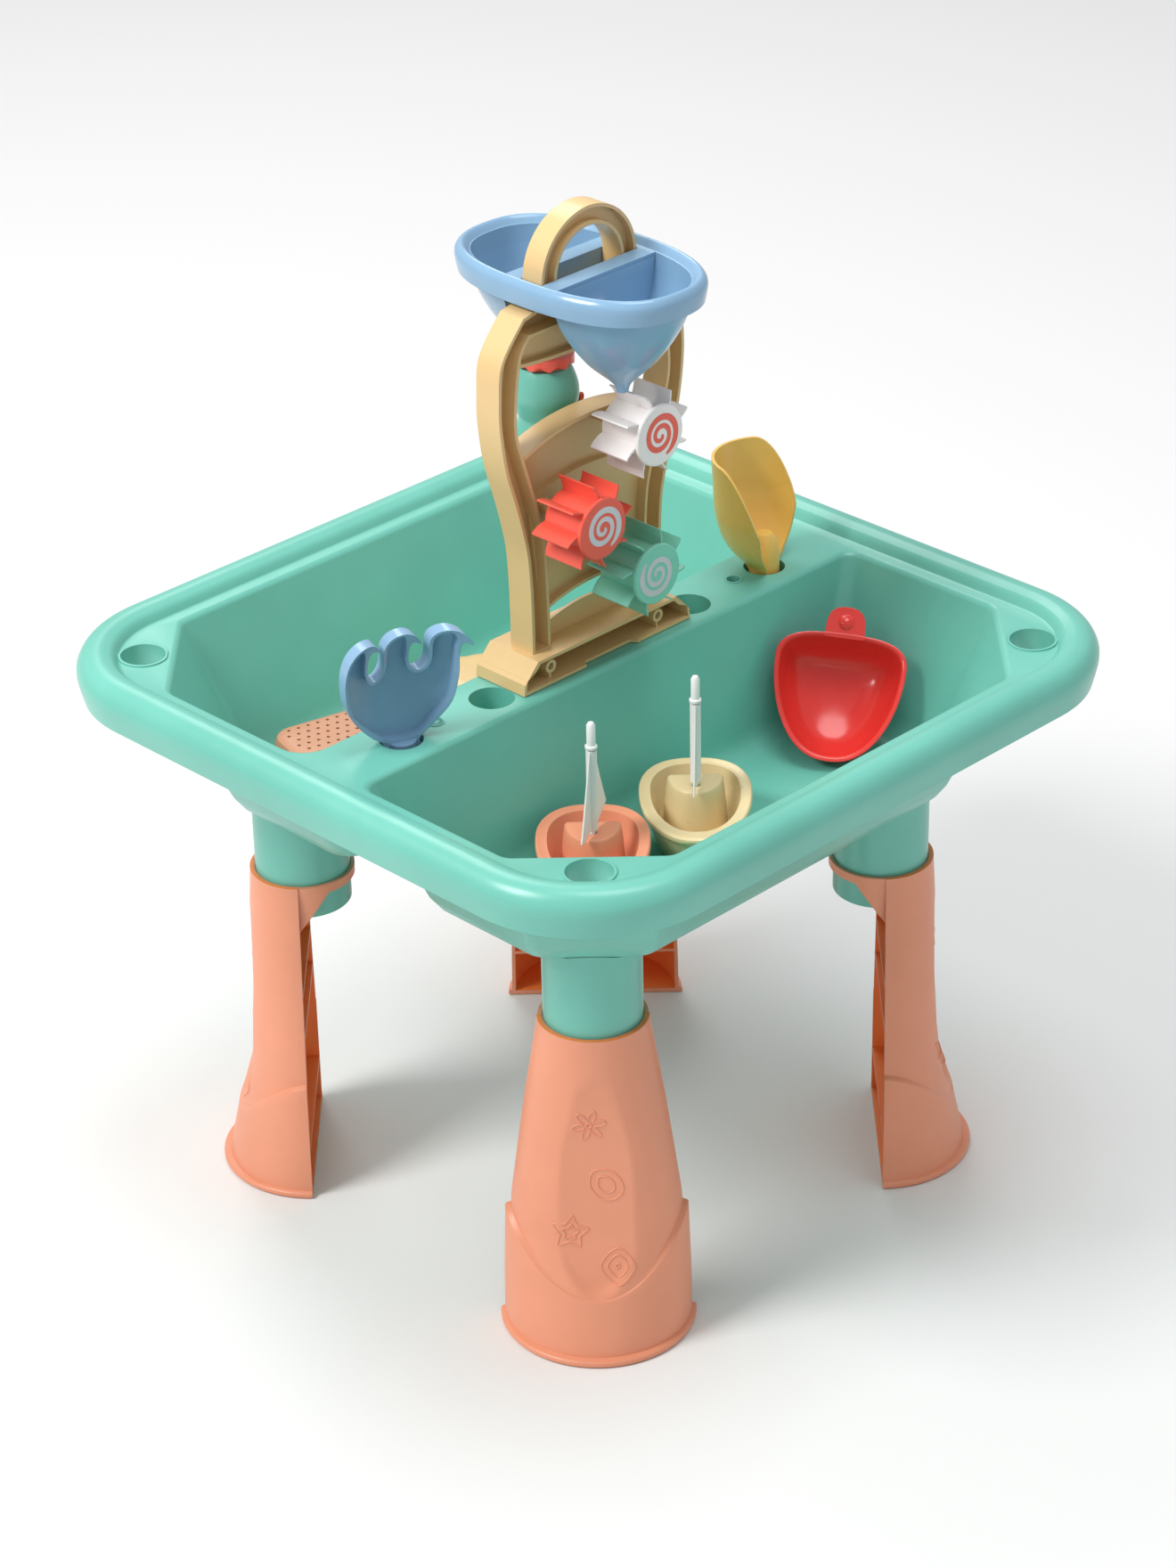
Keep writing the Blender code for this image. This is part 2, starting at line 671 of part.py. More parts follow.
def boss_steps():
    steps = []
    for name, (x, z, _) in WHEELS.items():
        boss = disc_profile(0.0048, -0.0052, 0.0152)
        steps.append(("UNION", turned(f"boss_{name}", boss, 10, (x, 0, z), "Y")))
        steps.append(("DIFFERENCE", turned(f"bore_{name}", disc_profile(0.0022, 0.0010, 0.020), 8, (x, 0,
            z), "Y")))
    for side in (-1, 1):
        spot = (side * 0.045, 0, 0.3632)
        steps.append(("UNION", turned(f"base_boss_{side}", disc_profile(0.0042, -0.0210, 0.0150), 10,
            spot, "Y")))
        steps.append(("UNION", box(f"base_fin_{side}", (side * 0.045 - 0.0008, -0.0140, 0.3545),
                                   (side * 0.045 + 0.0008, 0.0210, 0.3600))))
        steps.append(("DIFFERENCE", turned(f"base_bore_{side}", disc_profile(0.0022, -0.0180, 0.0200), 8,
            spot, "Y")))
    stub = turned("bottle_stub", disc_profile(0.0050, -0.0106, -0.0030), 10, (0.002, 0, 0.4880), "Y")
    steps.append(("UNION", stub))
    return steps


def build_base_screws():
    profile = [(0, 0.0006), (0.0017, 0.0), (0.0017, -0.0250), (0, -0.0260)]
    for name, side in (("base_screw_left", -1), ("base_screw_right", 1)):
        mesh = turned(name, profile, 8, (0, 0, 0), "Y")
        part_object(name, mesh, "steel", (side * 0.045, -0.0130, 0.3632))


# ---------------------------------------------------------------- funnel tray
def superellipse(half_x, half_y, z, count, power=TRAY_POWER):
    ring = []
    for k in range(count):
        angle = 2 * math.pi * k / count
        c, s = math.cos(angle), math.sin(angle)
        x = half_x * math.copysign(abs(c) ** (2 / power), c)
        y = half_y * math.copysign(abs(s) ** (2 / power), s)
        ring.append((x, y, z))
    return ring


def bowl_outline(side, inset):
    """D-shaped opening of one funnel, as (x, y), flat edge towards the middle of the tray."""
    flat = 0.0200
    half_x = TRAY_HALF_X - inset
    half_y = TRAY_HALF_Y - inset
    power = TRAY_POWER
    points = []
    edge_x = half_x * (1 - (flat / half_y) ** power) ** (1 / power)
    start = math.atan2((flat / half_y) ** (power / 2), (edge_x / half_x) ** (power / 2))
    for k in range(11):
        angle = start + (math.pi - 2 * start) * k / 10
        c, s = math.cos(angle), math.sin(angle)
        x = half_x * math.copysign(abs(c) ** (2 / power), c)
        y = half_y * abs(s) ** (2 / power)
        points.append((x, side * y))
    for k in range(1, 3):
        points.append((-edge_x + 2 * edge_x * k / 3, side * flat))
    return points


def bowl(side, inset, levels, name):
    outline = bowl_outline(side, inset)
    rings = []
    for z, scale in levels:
        ring = []
        for x, y in outline:
            ring.append((x * scale, side * NOZZLE_Y + (y - side * NOZZLE_Y) * scale, z))
        rings.append(ring)
    return loft(name, rings)


def build_tray():
    outer = [(0.0014, 0.5870), (0.0, 0.5960), (0.0014, 0.6003), (0.0044, TRAY_TOP_Z), (0.0082, 0.5980)]
    under = [(0.0090, 0.5960), (0.0044, 0.5998), (0.0024, 0.5960), (0.0034, 0.5870)]
    rings = []
    for inset, z in under + outer:
        rings.append(superellipse(TRAY_HALF_X - inset, TRAY_HALF_Y - inset, z, 28))
    steps = [("BASE", loft("tray_rim", rings))]
    outside = [(0.5972, 1.0), (0.5870, 0.970), (0.5750, 0.880), (0.5620, 0.710), (0.5500, 0.500)]
    outside += [(0.5435, 0.350), (0.5345, 0.130), (0.5290, 0.085)]
    inside = [(0.6040, 1.0), (0.5980, 1.0), (0.5880, 0.965), (0.5765, 0.870), (0.5640, 0.700)]
    inside += [(0.5520, 0.480), (0.5460, 0.340), (0.5360, 0.085), (0.5270, 0.040)]
    for side in (-1, 1):
        steps.append(("UNION", bowl(side, 0.0072, outside, f"bowl_outer_{side}")))
    slot_wall = box("slot_wall", (-0.0410, -0.0101, 0.5866), (0.0410, 0.0101, 0.5972))
    steps.append(("UNION", slot_wall))
    for side in (-1, 1):
        steps.append(("DIFFERENCE", bowl(side, 0.0090, inside, f"bowl_inner_{side}")))
    steps.append(("DIFFERENCE", box("slot", (-0.0388, -0.0083, 0.5700), (0.0388, 0.0083, 0.6100))))
    part_object("funnel_tray", combine("funnel_tray", steps), "blue")


# ---------------------------------------------------------------- wheels
def paddle_outline(start_deg):
    """Ring of radius 15.5 mm with eight thin paddles, each leaning slightly to one side."""
    root, tip, half = 0.0155, 0.0265, 0.0006
    outline = []
    for k in range(8):
        angle = math.radians(start_deg + 45 * k)
        lean = math.radians(9)
        outline.append(spoke_point(root, angle, -half))
        outline.append(spoke_point(tip, angle + lean, -half))
        outline.append(spoke_point(tip, angle + lean, half))
        outline.append(spoke_point(root, angle, half))
        outline.append((root * math.cos(angle + math.radians(22.5)),
            root * math.sin(angle + math.radians(22.5))))
    return outline


def spoke_point(radius, angle, across):
    return (radius * math.cos(angle) - across * math.sin(angle),
        radius * math.sin(angle) + across * math.cos(angle))


def build_wheels():
    for name, (x, z, start) in WHEELS.items():
        slot = {"white": "white", "red": "orange_red", "teal": "sticker_teal"}[name]
        inner = arc((0, 0), 0.0141, 0, 337.5, 15)
        ring = plate(f"ring_{name}", [paddle_outline(start), inner], WHEEL_FRONT_Y, WHEEL_BACK_Y, True)
        web = turned(f"web_{name}", tube_profile(0.0148, 0.0024, 0.0405, 0.0423), 16, (0, 0, 0), "Y")
        hub = turned(f"hub_{name}", tube_profile(0.0044, 0.0024, 0.0185, 0.0440), 10, (0, 0, 0), "Y")
        wheel = combine(f"wheel_{name}", [("BASE", ring), ("UNION", web), ("UNION", hub)])
        part_object(f"wheel_{name}", wheel, slot, (x, 0, z))
        face = [(0, 0.0497), (0.0180, 0.0497), (0.0186, 0.0490), (0.0186, 0.0473), (0, 0.0473)]
        disc = turned(f"disc_{name}", face, 24, (0, 0, 0), "Y")
        part_object(f"wheel_disc_{name}", disc, slot, (x, 0, z))
        pin = [(0, 0.0462), (0.0034, 0.0456), (0.0034, 0.0443), (0.0018, 0.0443), (0.0018, 0.0015), (0,
            0.0013)]
        axle = turned(f"axle_{name}", pin, 8, (0, 0, 0), "Y")
        part_object(f"wheel_axle_{name}", axle, "steel", (x, 0, z))


# ---------------------------------------------------------------- bottle behind the tower
BOTTLE = (0.002, 0.0325)


def build_bottle():
    outer = [(0.0150, 0.5262), (0.0168, 0.5225), (0.0192, 0.5150), (0.0198, 0.5075), (0.0180, 0.4995)]
    outer += [(0.0165, 0.4935), (0.0190, 0.4860), (0.0212, 0.4770), (0.0215, 0.4690), (0.0170, 0.4610)]
    inner = [(0.0075, 0.4632), (0.0150, 0.4636), (0.0190, 0.4760), (0.0166, 0.4860), (0.0142, 0.4935)]
    inner += [(0.0175, 0.5075), (0.0145, 0.5225), (0.0128, 0.5262)]
    profile = outer + [(0.0075, 0.4605)] + inner
    mesh = turned("bottle", profile, 18)
    flat = box("bottle_flat", (-0.02, -0.0500, 0.450), (0.02, -0.0216, 0.530))
    part_object("bottle", combine("bottle", [("BASE", mesh), ("DIFFERENCE", flat)]), "teal", (*BOTTLE, 0))


def build_bottle_collar():
    rings = []
    for radius, z, wave in ((0.0132, 0.5266, 0.0), (0.0132, 0.5345, 0.0), (0.0174, 0.5345, 0.0), (0.0174,
        0.5290, 1.0)):
        ring = []
        for k in range(20):
            angle = 2 * math.pi * k / 20
            zig = 0.0014 * wave * (1 if k % 2 else -1)
            ring.append((radius * math.cos(angle), radius * math.sin(angle), z + zig))
        rings.append(ring)
    mesh = loft("bottle_collar", rings, around=True)
    part_object("bottle_collar", mesh, "orange_red", (*BOTTLE, 0))


def build_spinner():
    outline = []
    for k in range(20):
        angle = 2 * math.pi * k / 20
        radius = 0.0080 + 0.0030 * math.cos(5 * angle)
        outline.append((radius * math.cos(angle), radius * math.sin(angle)))
    hole = arc((0, 0), 0.0017, 0, 315, 7)
    star = plate("spinner", [outline, hole], -0.0015, 0.0015)
    star.transform(turn(90, "Y"))
    spot = (BOTTLE[0] + 0.0230, BOTTLE[1], 0.4930)
    part_object("spinner", star, "orange_red", spot)
    profile = [(0, 0.0030), (0.0028, 0.0026), (0.0028, 0.0018), (0.0013, 0.0018), (0.0013, -0.0030), (0,
        -0.0030)]
    pin = turned("spinner_pin", profile, 8, (0, 0, 0), "X")
    part_object("spinner_pin", pin, "orange_red", spot)


# ---------------------------------------------------------------- rake and scoop
RAKE_OUTLINE = [
    (-9.8, -4), (-9.8, 0.6), (-19, 7), (-30, 20), (-36, 32), (-37.5, 48), (-35, 59), (-30, 65), (-22.5,
        67.5),
    (-16, 66), (-11.5, 60), (-16, 61.5), (-19, 58.5), (-20, 50), (-18.5, 43.5), (-15.5, 41), (-11.5, 43.5),
    (-9, 49), (-8.5, 60), (-4.5, 66.5), (3, 68.8), (9.5, 66), (13.5, 60), (9, 61.5), (6.8, 58),
    (6.3, 50), (7.6, 45), (11, 42.5), (15, 44.5), (17.5, 50), (17.8, 62), (21.5, 68), (28, 70.3),
    (34.5, 67.5), (39, 61), (34.5, 61.5), (33, 56), (32.5, 40), (28.5, 23), (19, 10), (9.8, 0.6), (9.8, -4),
]
RAKE_POCKET = [
    (-7.6, 2.4), (-17, 9), (-28.2, 21.2), (-34, 32.6), (-35.5, 48), (-33.4, 58), (-29, 63), (-23.5, 65),
    (-21.6, 59), (-21.9, 49), (-20, 42.5), (-15.8, 39.2), (-10.5, 41.5), (-7.2, 48), (-6.7, 59.5), (-3.5,
        64.7),
    (3, 66.9), (5, 59), (4.5, 50), (6, 43.8), (10.7, 40.6), (16.2, 43), (19.3, 49.5), (19.6, 61.5), (22.5,
        66.3),
    (28, 68.4), (31.4, 64), (31.2, 57), (30.6, 40.5), (26.9, 24), (17.4, 11.8), (7.6, 2.4),
]
RAKE_WALL = 0.0080


RAKE_BACK = [(-0.010, 0.0050), (0.004, 0.0055), (0.030, 0.0085), (0.080, 0.0085)]


def build_rake():
    """Local frame: width along +X, open side towards -Y, origin in the socket at deck height."""
    grid = []
    for z in (-0.010, 0.008, 0.026, 0.044, 0.062, 0.076):
        row = []
        for k in range(9):
            x = -0.045 + 0.090 * k / 8
            bow = 0.0150 * (abs(x) / 0.038) ** 2.0
            curl = 0.0060 * max(0.0, (z - 0.045) / 0.025) ** 2
            row.append((x, interpolate(RAKE_BACK, z) - bow - curl, z))
        grid.append(row)
    sheet = shell("rake_sheet", grid, 0.0024)
    front = [[(x, y - RAKE_WALL / 2, z) for x, y, z in row] for row in grid]
    slab = shell("rake_slab", front, RAKE_WALL)
    outline = [(w * 0.001, z * 0.001) for w, z in RAKE_OUTLINE]
    pocket = [(w * 0.001, z * 0.001) for w, z in RAKE_POCKET]
    stem = turned("rake_stem", disc_profile(0.0088, -0.0262, 0.0), 16)
    steps = [("BASE", slab), ("DIFFERENCE", plate("rake_pocket", [pocket], -0.06, 0.06, True))]
    steps.append(("UNION", sheet))
    steps.append(("INTERSECT", plate("rake_prism", [outline], -0.05, 0.05, True)))
    mesh = combine("rake", [("BASE", combine("rake_blade", steps)), ("UNION", stem)])
    part_object("rake", mesh, "blue", (-SOCKET_X, SOCKET_Y, DECK_Z), -22.0)


SCOOP_WIDTH = [(-0.006, 0.0080), (0.001, 0.0090), (0.008, 0.0150), (0.014, 0.0215), (0.024, 0.0270)]
SCOOP_WIDTH += [(0.038, 0.0305), (0.078, 0.0320)]
SCOOP_BACK = [(-0.006, 0.0080), (0.001, 0.0095), (0.008, 0.0160), (0.014, 0.0215), (0.024, 0.0265)]
SCOOP_BACK += [(0.038, 0.0300), (0.078, 0.0320)]


def build_scoop():
    """Local frame: opening towards -Y, origin in the socket at deck height."""
    grid = []
    for level in (0.0, 0.10, 0.24, 0.40, 0.62, 0.82, 1.0):
        row = []
        for k in range(11):
            angle = math.radians(-100 + 200 * k / 10)
            corner = max(0.0, (abs(angle) - math.radians(52)) / math.radians(48))
            top = 0.0735 - 0.0420 * corner ** 2
            z = -0.006 + (top + 0.006) * level
            width = interpolate(SCOOP_WIDTH, z)
            back = interpolate(SCOOP_BACK, z)
            row.append((width * math.sin(angle), -0.0035 + (back + 0.0035) * math.cos(angle), z))
        grid.append(row)
    sheet = shell("scoop_sheet", grid, 0.0020)
    profile = [(0, 0.0240), (0.0052, 0.0228), (0.0086, 0.0180), (0.0094, 0.0080), (0.0096, -0.0262), (0,
        -0.0262)]
    stem = turned("scoop_stem", profile, 16)
    mesh = combine("scoop", [("BASE", sheet), ("UNION", stem)])
    part_object("scoop", mesh, "yellow", (SOCKET_X, SOCKET_Y, DECK_Z), 20.0)


# ---------------------------------------------------------------- moulds and sieve
def mould_outline(count=20):
    """Rounded shield: broad at +Y, rounded point at -Y."""
    ring = []
    for k in range(count):
        angle = 2 * math.pi * k / count
        c, s = math.cos(angle), math.sin(angle)
        width = 0.0422 * (1 - 0.16 * (1 - s) / 2)
        x = width * math.copysign(abs(c) ** (0.66 if s > 0 else 0.86), c)
        y = 0.0245 * abs(s) ** 0.70 if s > 0 else 0.0545 * s
        ring.append((x, y))
    return ring


def build_red_mould():
    outline = mould_outline()
    levels = [(1.03, 0.0), (0.975, -0.0006), (0.93, -0.0075), (0.83, -0.0165), (0.62, -0.0235), (0.33,
        -0.0268)]
    grid = []
    for scale, z in levels:
        grid.append([(x * scale, (y + 0.004) * scale - 0.004, z) for x, y in outline])
    grid.append([(0, -0.004, -0.0275)] * len(outline))
    bowl_mesh = shell("mould_sheet", grid, 0.0020, closed=True)
    ear = plate("mould_ear", [rounded_corners([(-0.0125, 0.0225), (0.0125, 0.0225), (0.0108, 0.0425),
        (-0.0108, 0.0425)],
                                              [0.001, 0.001, 0.009, 0.009], 3)], -0.0010, 0.0010)
    mesh = combine("red_mould", [("BASE", bowl_mesh), ("UNION", ear)])
    length = Vector((0.599, 0.371, 0.710)).normalized()
    width = Vector((0.668, -0.744, -0.015))
    width = (width - length * width.dot(length)).normalized()
    normal = width.cross(length).normalized()
    basis = Matrix((width, length, normal)).transposed().to_4x4()
    mesh.transform(basis)
    part_object("red_mould", mesh, "red", (0.1410, -0.0755, 0.3085))


def build_sieve():
    corners = [(0.044, -0.031), (0.044, 0.031), (-0.044, 0.031), (-0.044, -0.031)]
    grid = []
    for inset, z in ((-0.004, 0.0005), (0.0, 0.0010), (0.004, 0.0280), (0.007, 0.0310)):
        ring = rounded_corners([(x - math.copysign(inset, x), y - math.copysign(inset, y)) for x,
            y in corners],
                               [0.016 - inset * 0.5] * 4, 3)
        grid.append([(x, y, z) for x, y in ring])
    grid.append([(0, 0, 0.0310)] * len(grid[0]))
    dish = shell("sieve_sheet", grid, 0.0020, closed=True)
    steps = [("BASE", dish)]
    count = 0
    for row in range(-1, 2):
        for col in range(-2, 3):
            x = col * 0.013 + (row % 2) * 0.0065
            if abs(x) > 0.030:
                continue
            steps.append(("DIFFERENCE", turned(f"sieve_hole_{count}", disc_profile(0.0018, 0.024, 0.040), 6,
                                               (x, row * 0.013, 0))))
            count += 1
    mesh = combine("sieve", steps)
    part_object("sieve", mesh, "peach", (-0.0965, 0.1095, FLOOR_Z + 0.0008), -14.0)


def build_cream_mould():
    grid = []
    for scale, z in ((1.0, 0.0012), (0.94, 0.0012), (0.84, 0.0200), (0.66, 0.0270), (0.30, 0.0280)):
        ring = []
        for k in range(20):
            angle = 2 * math.pi * k / 20
            radius = (0.0335 + 0.0035 * math.cos(5 * angle)) * scale
            ring.append((radius * math.cos(angle), radius * math.sin(angle), z))
        grid.append(ring)
    grid.append([(0, 0, 0.0282)] * 20)
    mesh = shell("cream_mould_sheet", grid, 0.0020, closed=True)
    part_object("cream_mould", mesh, "cream", (0.0140, 0.1180, FLOOR_Z + 0.0006), 20.0)


# ---------------------------------------------------------------- boats
def hull_ring(scale, z, inset=0.0):
    """Hull outline, bow towards -Y: wide rounded stern, narrower rounded bow."""
    ring = []
    for k in range(18):
        angle = 2 * math.pi * k / 18
        c, s = math.cos(angle), math.sin(angle)
        width = (0.0335 * scale - inset) * (1.0 if s > 0 else 1 - 0.16 * s * s)
        length = (0.0395 * scale if s > 0 else 0.0600 * scale) - inset
        ring.append((width * math.copysign(abs(c) ** 0.80, c), length * math.copysign(abs(s) ** 0.86, s),
            z))
    return ring


def cabin_outline(count=10):
    """Flat across the stern side and rounded towards the bow."""
    spots = [(-0.0150, 0.0052), (0.0150, 0.0052)]
    for k in range(count + 1):
        angle = math.pi * k / count
        spots.append((0.0163 * math.cos(angle), 0.0035 - 0.0220 * math.sin(angle)))
    return spots


def boat_hull(name):
    outer = [hull_ring(0.66, 0.0008), hull_ring(0.74, 0.0035), hull_ring(0.88, 0.0190), hull_ring(0.90,
        0.0245)]
    outer += [hull_ring(0.99, 0.0262), hull_ring(1.0, 0.0285), hull_ring(0.97, 0.0300)]
    inner = [hull_ring(0.66, 0.0048, 0.0020), hull_ring(0.80, 0.0200, 0.0030), hull_ring(0.88, 0.0290,
        0.0030)]
    inner += [hull_ring(0.90, 0.0330, 0.0030)]
    rings = []
    for grow, z in ((1.20, 0.0030), (1.06, 0.0300), (1.0, 0.0362), (0.93, 0.0372)):
        rings.append([(x * grow, y * grow, z) for x, y in cabin_outline()])
    steps = [("BASE", loft(name + "_outer", outer)), ("DIFFERENCE", loft(name + "_inner", inner))]
    steps.append(("UNION", loft(name + "_cabin", rings)))
    steps.append(("DIFFERENCE", turned(name + "_step", disc_profile(0.0023, 0.0200, 0.0500), 8, (0,
        -0.0080, 0))))
    return combine(name, steps)


def build_boats():
    for name, (x, y, angle) in BOATS.items():
        hull = boat_hull(f"hull_{name}")
        part_object(f"boat_hull_{name}", hull, name, (x, y, FLOOR_Z), angle)
        turn_z = turn(angle, "Z")
        offset = turn_z @ Vector((0, -0.0080, 0))
        foot = (x + offset.x, y + offset.y, FLOOR_Z)
        mast = [(0, 0.1094), (0.0016, 0.1091), (0.0026, 0.1074), (0.0026, 0.0946), (0.0036, 0.0942),
            (0.0036, 0.0926)]
        mast += [(0.0020, 0.0922), (0.0018, 0.0205), (0, 0.0203)]
        part_object(f"boat_mast_{name}", turned(f"mast_{name}", mast, 8), "white", foot)
        aft = [(0.0034, 0.0912), (0.0024, 0.0898), (0.0024, 0.0400), (0.0050, 0.0396), (0.0220, 0.0470),
            (0.0120, 0.0690)]
        fore = [(-0.0024, 0.0898), (-0.0034, 0.0912), (-0.0085, 0.0720), (-0.0140, 0.0540), (-0.0190,
            0.0394)]
        fore += [(-0.0170, 0.0386), (-0.0070, 0.0400), (-0.0024, 0.0430)]
        sail_turn = {"coral": 25.0, "cream": 40.0}[name]
        sail = sail_mesh(name, aft, fore)
        part_object(f"boat_sail_{name}", sail, "white", foot, sail_turn)


def sail_mesh(name, aft, fore):
    """Two thin panels joined by a sleeve that clips round the mast."""
    sleeve = turned(f"sail_sleeve_{name}", tube_profile(0.0032, 0.0023, 0.0400, 0.0914), 8)
    steps = [("BASE", sleeve)]
    steps.append(("UNION", plate(f"sail_aft_{name}", [aft], -0.0005, 0.0005, True)))
    steps.append(("UNION", plate(f"sail_fore_{name}", [fore], -0.0005, 0.0005, True)))
    return combine(f"sail_{name}", steps)


# ---------------------------------------------------------------- build
build_tub()
build_divider_screws()
build_sleeves()
build_legs()
build_tower()
build_base_screws()
build_tray()
build_wheels()
build_bottle()
build_bottle_collar()
build_spinner()
build_rake()
build_scoop()
build_red_mould()
build_sieve()
build_cream_mould()
build_boats()
for spare in list(CUTTERS.objects):
    bpy.data.objects.remove(spare, do_unlink=True)
bpy.context.view_layer.update()
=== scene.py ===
"""Sand and water table: the visual model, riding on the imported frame."""

import json
import math

import bmesh
import bpy
from mathutils import Matrix, Vector

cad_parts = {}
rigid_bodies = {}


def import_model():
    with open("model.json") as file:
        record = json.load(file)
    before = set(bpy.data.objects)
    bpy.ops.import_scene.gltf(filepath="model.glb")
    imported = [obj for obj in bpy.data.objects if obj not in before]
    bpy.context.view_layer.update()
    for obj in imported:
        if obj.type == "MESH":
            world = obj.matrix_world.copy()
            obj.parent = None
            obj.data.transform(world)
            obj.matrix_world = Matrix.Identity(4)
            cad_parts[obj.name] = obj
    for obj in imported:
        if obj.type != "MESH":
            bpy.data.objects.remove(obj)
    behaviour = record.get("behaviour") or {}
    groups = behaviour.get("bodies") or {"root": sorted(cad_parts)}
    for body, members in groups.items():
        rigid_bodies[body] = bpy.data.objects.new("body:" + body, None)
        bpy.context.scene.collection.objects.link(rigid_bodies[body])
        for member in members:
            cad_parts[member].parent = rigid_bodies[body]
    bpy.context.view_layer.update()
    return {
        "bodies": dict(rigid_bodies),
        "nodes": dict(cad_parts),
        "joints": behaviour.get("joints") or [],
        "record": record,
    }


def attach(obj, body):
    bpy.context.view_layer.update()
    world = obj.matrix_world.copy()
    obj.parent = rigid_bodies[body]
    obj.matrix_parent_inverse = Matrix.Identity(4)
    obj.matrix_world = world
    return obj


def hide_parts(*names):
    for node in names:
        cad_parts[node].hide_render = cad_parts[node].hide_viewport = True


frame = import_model()
BODY_OF = {}
for body_name, members in frame["record"]["behaviour"]["bodies"].items():
    for member in members:
        BODY_OF[member] = body_name

# ---------------------------------------------------------------- camera, floor and light
CAMERA_AZIMUTH = -44.681
CAMERA_ELEVATION = 29.111
CAMERA_DISTANCE = 2.62123
CAMERA_SIDE = -0.00581
CAMERA_UP = 0.22747
CAMERA_ROLL = -1.146
CAMERA_LENS = 94.54
WORLD_STRENGTH = 0.52


def direction(azimuth, elevation):
    """Unit vector from the object towards a camera or lamp, angles in degrees, 0 in front."""
    a, e = math.radians(azimuth), math.radians(elevation)
    return Vector((math.sin(a) * math.cos(e), -math.cos(a) * math.cos(e), math.sin(e)))


def placed(name, data):
    """A new object in the scene."""
    obj = bpy.data.objects.new(name, data)
    bpy.context.scene.collection.objects.link(obj)
    return obj


def build_camera():
    a = math.radians(CAMERA_AZIMUTH)
    roll = math.radians(CAMERA_ROLL)
    back = direction(CAMERA_AZIMUTH, CAMERA_ELEVATION)
    right = Vector((math.cos(a), math.sin(a), 0.0))
    up = back.cross(right)
    side = right * math.cos(roll) + up * math.sin(roll)
    top = up * math.cos(roll) - right * math.sin(roll)
    data = bpy.data.cameras.new("photo_camera")
    data.lens = CAMERA_LENS
    data.sensor_width = 36.0
    camera = placed("photo_camera", data)
    spot = back * CAMERA_DISTANCE + side * CAMERA_SIDE + top * CAMERA_UP
    camera.matrix_world = Matrix((
        (side.x, top.x, back.x, spot.x),
        (side.y, top.y, back.y, spot.y),
        (side.z, top.z, back.z, spot.z),
        (0.0, 0.0, 0.0, 1.0),
    ))
    bpy.context.scene.camera = camera


def area_light(name, azimuth, elevation, distance, size, watts, colour=(1.0, 1.0, 1.0)):
    back = direction(azimuth, elevation)
    data = bpy.data.lights.new(name, "AREA")
    data.shape = "DISK"
    data.size = size
    data.energy = watts
    data.color = colour
    light = placed(name, data)
    light.location = back * distance + Vector((0, 0, 0.3))
    light.rotation_mode = "QUATERNION"
    light.rotation_quaternion = (-back).to_track_quat("-Z", "Y")


def build_stage():
    mesh = bpy.data.meshes.new("studio_floor")
    work = bmesh.new()
    bmesh.ops.create_circle(work, cap_ends=True, radius=60.0, segments=64)
    work.to_mesh(mesh)
    work.free()
    floor = placed("studio_floor", mesh)
    floor.location = (0, 0, -0.0005)
    paint = bpy.data.materials.new("studio_floor")
    paint.use_nodes = True
    shader = paint.node_tree.nodes["Principled BSDF"]
    shader.inputs["Base Color"].default_value = (0.82, 0.82, 0.82, 1.0)
    shader.inputs["Roughness"].default_value = 0.9
    shader.inputs["Specular IOR Level"].default_value = 0.1
    mesh.materials.append(paint)
    world = bpy.data.worlds.new("studio")
    world.use_nodes = True
    world.node_tree.nodes["Background"].inputs["Color"].default_value = (1.0, 1.0, 1.0, 1.0)
    world.node_tree.nodes["Background"].inputs["Strength"].default_value = WORLD_STRENGTH
    bpy.context.scene.world = world
    area_light("key_light", -108, 46, 3.0, 1.1, 62.0, (1.0, 0.99, 0.97))
    area_light("top_light", 20, 82, 3.0, 1.6, 34.0, (0.97, 0.99, 1.0))
    area_light("back_light", 150, 45, 3.2, 1.4, 22.0)


bpy.context.scene.view_settings.view_transform = "Standard"
build_camera()
build_stage()

# ---------------------------------------------------------------- moulded plastic
LOOKS = {
    "teal": ((0.150, 0.500, 0.410), 0.31),
    "sticker_teal": ((0.240, 0.660, 0.520), 0.30),
    "coral": ((0.800, 0.310, 0.180), 0.40),
    # Painted light: a brighter, more orange copy of the coral for the legs' inner faces, standing in for
    # light shining through the thin walls.
    "coral_painted_glow": ((1.000, 0.260, 0.060), 0.46),
    "cream": ((0.740, 0.510, 0.240), 0.32),
    "boat_cream": ((0.740, 0.590, 0.330), 0.28),
    "blue": ((0.230, 0.400, 0.580), 0.16),
    "red": ((0.860, 0.042, 0.034), 0.18),
    "orange_red": ((0.880, 0.110, 0.070), 0.32),
    "white": ((0.900, 0.870, 0.870), 0.32),
    "print": ((0.660, 0.640, 0.700), 0.40),
    "yellow": ((0.900, 0.560, 0.130), 0.26),
    "peach": ((0.560, 0.260, 0.150), 0.42),
    "steel": ((0.550, 0.550, 0.560), 0.30),
}


def fill(tree, node, inputs):
    """Sets each input of the node to a value, or links it to another node's socket."""
    for key, value in inputs.items():
        if isinstance(value, bpy.types.NodeSocket):
            tree.links.new(value, node.inputs[key])
        else:
            node.inputs[key].default_value = value


def add(tree, kind, inputs, **settings):
    node = tree.nodes.new(kind)
    for key, value in settings.items():
        setattr(node, key, value)
    fill(tree, node, inputs)
    return node


def noise(tree, coords, scale, detail, rough=0.55):
    inputs = {"Scale": scale, "Detail": detail, "Roughness": rough, "Vector": coords}
    return add(tree, "ShaderNodeTexNoise", inputs).outputs["Fac"]


def spread(tree, source, low, high, out_low, out_high):
    inputs = {"From Min": low, "From Max": high, "To Min": out_low, "To Max": out_high, "Value": source}
    return add(tree, "ShaderNodeMapRange", inputs).outputs["Result"]


